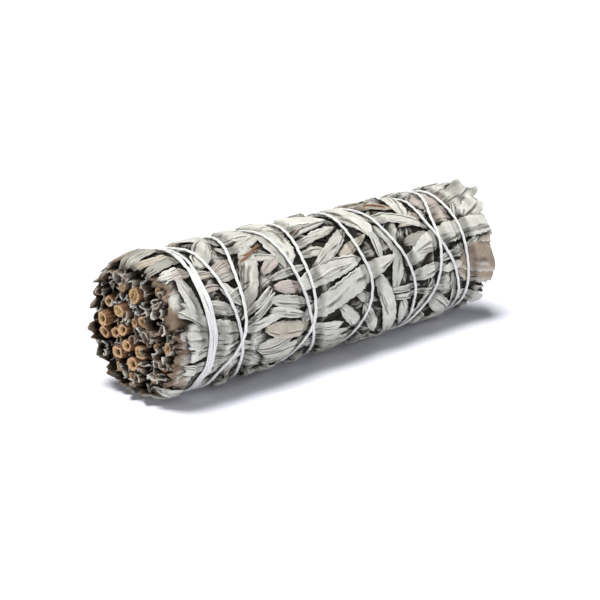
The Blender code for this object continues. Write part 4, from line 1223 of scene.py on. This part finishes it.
class SAGE_OT_leafy_stems(bpy.types.Operator):
    """Adds the leaves of each leafy stem, with its cut leaf bases and its tips"""

    bl_idname = "sage.leafy_stems"
    bl_label = "Leafy stems"

    def execute(self, context):
        made = the_plan()
        rng = random.Random(STRIP_SEED)
        settings = context.scene.sage_leaf
        material = make_leaf_material(settings)
        meshes = [bmesh.new() for _ in STEMS]
        skin = made.skin
        # Painted shade where a place lies under what covers it: how far under it starts, over what depth it
        # grows and how much
        covers = (
            (box_blur(skin.radius, 1), 0.15, 0.4, 0.9),
            (box_blur(rim_above(made.cover, 4), 2), 0.45, 0.8, 0.85),
            (box_blur(made.cover, 7), 0.08, 0.8, 0.95),
        )
        for leaf in made.leaves:
            points = to_world(leaf.x, leaf.angle, leaf.radius)
            points[..., 2] = np.maximum(points[..., 2], 0.05)
            cell = skin.index(leaf.x, leaf.angle)
            hollow = 0.0
            for cover, start, reach, share in covers:
                hollow = hollow + np.clip((cover[cell] - leaf.radius - start) / reach, 0, 1) * share
            # Less painted shade near the cut end
            hollow = hollow * np.clip((leaf.x - CUT_X + 1) / 5, 0.45, 1)
            age = leaf.age_root * np.clip(1 - leaf.along / min(leaf.along.max(), 9.0), 0, 1)
            age = age + 0.3 * np.clip((CUT_X + 0.8 - leaf.x) / 2.0, 0, 1)
            values = (leaf.along, leaf.across, leaf.tint, age, np.minimum(hollow, 1.0))
            add_sheet(meshes[leaf.owner], points * MM, values)
        add_cut_strips(meshes, rng)
        add_tip_strips(meshes, rng)
        for number, bm in enumerate(meshes):
            mesh = smooth_mesh(f"sage_leaves_{number + 1:02d}", bm)
            obj = piece(mesh.name, mesh, material, [f"leaves_{number + 1:02d}"])
            wall = obj.modifiers.new("blade", "SOLIDIFY")
            wall.thickness, wall.offset = settings.thickness, -1.0
        return {"FINISHED"}


class SAGE_OT_packed_core(bpy.types.Operator):
    """Adds the mass of inner leaves that shows in the gaps, coloured nearly black as painted shade"""

    bl_idname = "sage.packed_core"
    bl_label = "Packed core"

    def execute(self, context):
        bm = bmesh.new()
        bmesh.ops.create_circle(bm, cap_ends=True, segments=64, radius=1.0)
        rings = [(-63.0, 0.9)] + [(x, 1.0) for x in range(-60, 54, 3)]
        rings += [(55.0, 0.92), (57.0, 0.75), (58.0, 0.4)]
        face = bm.faces[:][0]
        turn = {vert: math.atan2(vert.co.y, vert.co.x) for vert in face.verts}
        for level, (x, share) in enumerate(rings):
            if level:
                face = next_ring(bm, face, level)
                turn = {vert: math.atan2(vert.co.z - AXIS_Z * MM, -vert.co.y) for vert in face.verts}
            angles = np.array([turn[vert] for vert in face.verts])
            rough = 0.35 * np.sin(angles * 9 + x * 0.7) + 0.25 * np.sin(angles * 17 - x * 1.3)
            places = to_world(np.full(angles.shape, float(x)), angles, (core_radius(x) - 0.5) * share + rough)
            for vert, place in zip(face.verts, places):
                vert.co = place * MM
        mesh = smooth_mesh("packed_core", bm, closed=True)
        piece("packed_core", mesh, make_core_material())
        return {"FINISHED"}


def stem_rings(number):
    """Rings of a stem from its far end to its pith: (x, share of radius, zone, share of tilt, roughness)."""
    cut = CUT_X - STEMS[number][3]
    sound = number in SOUND_STEMS
    # Zone -1 marks where the stem runs inside the bundle, and zones past 2 the hollow of the pith; the
    # material paints both near black as shade
    rings = [
        (24.0, 0.5, 0.0, 0.0, 0.02),
        (-42.0, 0.78, 0.0, 0.0, 0.03),
        (-60.0, 0.92, -1.0, 0.0, 0.04),
        (-65.0, 0.97, -1.0, 0.0, 0.05),
        (-68.0, 1.0, -0.6, 0.3, 0.05),
        (cut + 0.5, 1.02, 0.0, 1.0, 0.06),
        (cut, 0.97, 0.0, 1.0, 0.08),
        (cut - 0.12, 0.9, 0.6, 1.0, 0.06),
        (cut - 0.1, 0.76, 0.6, 1.0, 0.06),
        (cut + 0.12, 0.58, 1.5 if sound else 1.0, 1.0, 0.1),
    ]
    if sound:
        return rings + [(cut + 0.05, 0.42, 1.6, 1.0, 0.1), (cut + 0.3, 0.2, 1.6, 1.0, 0.2)]
    return rings + [
        (cut + 0.25, 0.5, 1.4, 1.0, 0.12),
        (cut + 1.0, 0.42, 2.3, 0.8, 0.12),
        (cut + 2.4, 0.34, 2.8, 0.0, 0.1),
    ]


class SAGE_OT_cut_stems(bpy.types.Operator):
    """Adds the woody stems with their bark, wood and pith"""

    bl_idname = "sage.cut_stems"
    bl_label = "Cut stems"

    def execute(self, context):
        rng = random.Random(STEM_SEED)
        material = make_bark_material(context.scene.sage_stem)
        for number, (y, z, diameter, _) in enumerate(STEMS):
            bm = bmesh.new()
            bmesh.ops.create_circle(bm, cap_ends=True, segments=STEM_SIDES, radius=1.0)
            zones = bm.verts.layers.float.new("zone")
            tilt_y, tilt_z = rng.uniform(-0.3, 0.3), rng.uniform(-0.3, 0.3)
            square, phase = rng.uniform(0.02, 0.07), rng.uniform(0, 6.28)
            face = bm.faces[:][0]
            turn = {vert: math.atan2(vert.co.y, vert.co.x) for vert in face.verts}
            for level, (x, share, zone, tilt, rough) in enumerate(stem_rings(number)):
                if level:
                    face = next_ring(bm, face, level)
                    lifted = {}
                    for vert in face.verts:
                        near = min(turn, key=lambda other: (other.co - vert.co).length_squared)
                        lifted[vert] = turn[near]
                    turn = lifted
                centre = inside_points(np.array(x), np.array(y), np.array(z))
                for vert, a in turn.items():
                    swelling = 1 + square * math.cos(4 * a + phase) + rng.uniform(-rough, rough)
                    r = diameter / 2 * share * swelling
                    dy, dz = r * math.cos(a), r * math.sin(a)
                    dx = (dy * tilt_y + dz * tilt_z) * tilt
                    if tilt == 1.0:
                        dx += rng.uniform(-0.12, 0.12)
                    vert.co = Vector(centre + (dx, dy, dz)) * MM
                    vert[zones] = zone
            mesh = smooth_mesh(f"cut_stem_{number + 1:02d}", bm, closed=True)
            piece(mesh.name, mesh, material, [f"stem_{number + 1:02d}"])
        return {"FINISHED"}


def tubes(name, splines):
    """One mesh of thin closed tubes: (points in millimetres, their radius in millimetres) for each."""
    curve = bpy.data.curves.new(name + "_path", "CURVE")
    curve.dimensions, curve.bevel_depth, curve.bevel_resolution = "3D", MM, 1
    curve.use_fill_caps = True
    for points, radius in splines:
        made = curve.splines.new("POLY")
        made.points.add(len(points) - 1)
        for point, place in zip(made.points, points):
            point.co, point.radius = (*(place * MM), 1.0), radius
    path = bpy.data.objects.new(curve.name, curve)
    bpy.context.scene.collection.objects.link(path)
    bpy.context.view_layer.update()
    mesh = bpy.data.meshes.new_from_object(path.evaluated_get(bpy.context.evaluated_depsgraph_get()))
    bpy.data.objects.remove(path)
    mesh.name = name
    mesh.materials.clear()
    mesh.shade_smooth()
    return mesh


class SAGE_OT_side_twigs(bpy.types.Operator):
    """Adds the thin reddish side twigs between the leaves"""

    bl_idname = "sage.side_twigs"
    bl_label = "Side twigs"

    def execute(self, context):
        rng = random.Random(TWIG_SEED)
        skin = the_plan().skin
        ground = box_blur(skin.radius, 3)
        t = np.linspace(0, 1, 18)
        splines = []
        for root_x, root_angle, tip_x, tip_angle, radius in SIDE_TWIGS:
            x = root_x + (tip_x - root_x) * t + 0.5 * wave(rng, t, 5)
            angle = np.radians(root_angle + (tip_angle - root_angle) * t + 1.5 * wave(rng, t, 4))
            height = ground[skin.index(x, angle)] + radius * 0.9 - 1.2 * (2 * t - 1) ** 8
            splines.append((to_world(x, angle, height), radius))
        n = Nodes("reddish_twig")
        colour = n.mix(n.noise(1400.0, 4.0), rgba((0.12, 0.045, 0.02)), rgba((0.36, 0.19, 0.09)))
        n.bump(n.noise(2200.0, 3.0), 0.0002)
        piece("side_twigs", tubes("side_twigs", splines), n.finish(colour, 0.75))
        return {"FINISHED"}


class SAGE_OT_string(bpy.types.Operator):
    """Adds the wound string, with its plies and loose fibres"""

    bl_idname = "sage.string"
    bl_label = "Cotton string"

    def execute(self, context):
        settings = context.scene.sage_string
        rng = random.Random(FIBRE_SEED)
        path = the_plan().string
        steps = np.linalg.norm(np.diff(path, axis=0, prepend=path[:1]), axis=1)
        length = np.cumsum(steps)
        even = np.arange(0.0, length[-1], PLY_STEP)
        path = np.stack([np.interp(even, length, path[:, k]) for k in range(3)], -1)
        spread = np.clip((BAND_EDGE_X - path[:, 0]) / 1.2, 0, 1)
        path[:, 0] += 0.25 * spread * np.sign(BAND_X - path[:, 0])
        ahead = np.gradient(path, axis=0)
        ahead /= np.linalg.norm(ahead, axis=1)[:, None]
        up = path - (0, 0, AXIS_Z)
        up[:, 0] = 0.0
        up -= ahead * (up * ahead).sum(1)[:, None]
        up /= np.linalg.norm(up, axis=1)[:, None]
        side = np.cross(ahead, up)
        ply_radius = settings.ply_radius / MM
        splines = []
        for ply in range(3):
            turn = even / (settings.pitch / MM) * 2 * math.pi + ply * 2 * math.pi / 3
            aside = 0.3 * np.cos(turn) * (1 - spread) + 0.46 * (ply - 1) * spread
            splines.append((path + side * aside[:, None] + up * (0.14 * np.sin(turn))[:, None], ply_radius))
        for _ in range(LOOSE_FIBRES):
            k = rng.randrange(4, len(path) - 4)
            turn, lean = rng.uniform(-0.5, 3.6), rng.uniform(-0.8, 0.8)
            out = side[k] * math.cos(turn) + up[k] * math.sin(turn)
            reach = rng.uniform(0.5, 1.5)
            first = path[k] + out * 0.3
            points = [
                first + (out * s + ahead[k] * lean * s + up[k] * 0.2 * s * s) * reach
                for s in (0.0, 0.4, 0.75, 1.0)
            ]
            if min(point[2] for point in points) > 0.1:
                splines.append((points, ply_radius * 0.09))
        piece("twine", tubes("twine", splines), make_string_material(settings), ["string"])
        return {"FINISHED"}


class SAGE_OT_stage(bpy.types.Operator):
    """Adds the pale floor, the soft lights and the camera"""

    bl_idname = "sage.stage"
    bl_label = "Floor, lights and camera"

    def execute(self, context):
        settings = context.scene.sage_stage
        bm = bmesh.new()
        bmesh.ops.create_grid(bm, x_segments=2, y_segments=2, size=5.0)
        mesh = bpy.data.meshes.new("floor")
        bm.to_mesh(mesh)
        bm.free()
        n = Nodes("pale_floor")
        mesh.materials.append(n.finish(rgba(settings.floor), 0.9, Specular_IOR_Level=0.1))
        floor = bpy.data.objects.new("floor", mesh)
        context.scene.collection.objects.link(floor)
        world = bpy.data.worlds.new("soft_room")
        world.use_nodes = True
        background = world.node_tree.nodes["Background"]
        background.inputs["Color"].default_value = ROOM_COLOUR
        background.inputs["Strength"].default_value = ROOM_STRENGTH
        context.scene.world = world
        target = Vector(CAMERA_TARGET) * MM
        azimuth, elevation = math.radians(CAMERA_AZIMUTH), math.radians(CAMERA_ELEVATION)
        level = math.cos(elevation)
        back = Vector((math.sin(azimuth) * level, -math.cos(azimuth) * level, math.sin(elevation)))
        right = Vector((math.cos(azimuth), math.sin(azimuth), 0.0))
        data = bpy.data.cameras.new("camera")
        data.lens, data.sensor_width, data.sensor_fit = CAMERA_LENS, 36.0, "HORIZONTAL"
        data.clip_start, data.clip_end = 0.01, 50.0
        camera = bpy.data.objects.new("camera", data)
        context.scene.collection.objects.link(camera)
        camera.location = target + back * CAMERA_DISTANCE
        camera.rotation_euler = back.to_track_quat("Z", "Y").to_euler()
        context.scene.camera = camera
        for name, towards, aside, up, angle, share, colour in LIGHTS:
            place = back * towards + right * aside + Vector((0, 0, up))
            light = bpy.data.lights.new(name, "SUN")
            light.energy = share * (settings.key_power if name == "key" else settings.fill_power)
            light.color, light.angle = colour, angle
            lamp = bpy.data.objects.new(name, light)
            lamp.location = target + place
            lamp.rotation_euler = place.to_track_quat("Z", "Y").to_euler()
            context.scene.collection.objects.link(lamp)
        context.scene.view_settings.view_transform = "Standard"
        return {"FINISHED"}


OPERATORS = (
    SAGE_OT_leafy_stems,
    SAGE_OT_packed_core,
    SAGE_OT_cut_stems,
    SAGE_OT_side_twigs,
    SAGE_OT_string,
    SAGE_OT_stage,
)
SETTINGS = {
    "sage_leaf": LeafSettings,
    "sage_stem": StemSettings,
    "sage_string": StringSettings,
    "sage_stage": StageSettings,
}


class SAGE_PT_panel(bpy.types.Panel):
    """Lists the pieces of the bundle"""

    bl_label = "Dried sage bundle"
    bl_idname = "SAGE_PT_panel"
    bl_space_type = "VIEW_3D"
    bl_region_type = "UI"
    bl_category = "Sage"

    def draw(self, context):
        for name, group in SETTINGS.items():
            for prop in group.__annotations__:
                self.layout.prop(getattr(context.scene, name), prop)
        for operator in OPERATORS:
            self.layout.operator(operator.bl_idname)


def register():
    for cls in (*SETTINGS.values(), *OPERATORS, SAGE_PT_panel):
        bpy.utils.register_class(cls)
    for name, group in SETTINGS.items():
        setattr(bpy.types.Scene, name, PointerProperty(type=group))


def unregister():
    for name in SETTINGS:
        delattr(bpy.types.Scene, name)
    for cls in (SAGE_PT_panel, *reversed(OPERATORS), *SETTINGS.values()):
        bpy.utils.unregister_class(cls)


def main():
    register()
    bpy.ops.sage.leafy_stems()
    bpy.ops.sage.packed_core()
    bpy.ops.sage.cut_stems()
    bpy.ops.sage.side_twigs()
    bpy.ops.sage.string()
    bpy.ops.sage.stage()
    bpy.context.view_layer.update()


if __name__ == "__main__":
    main()
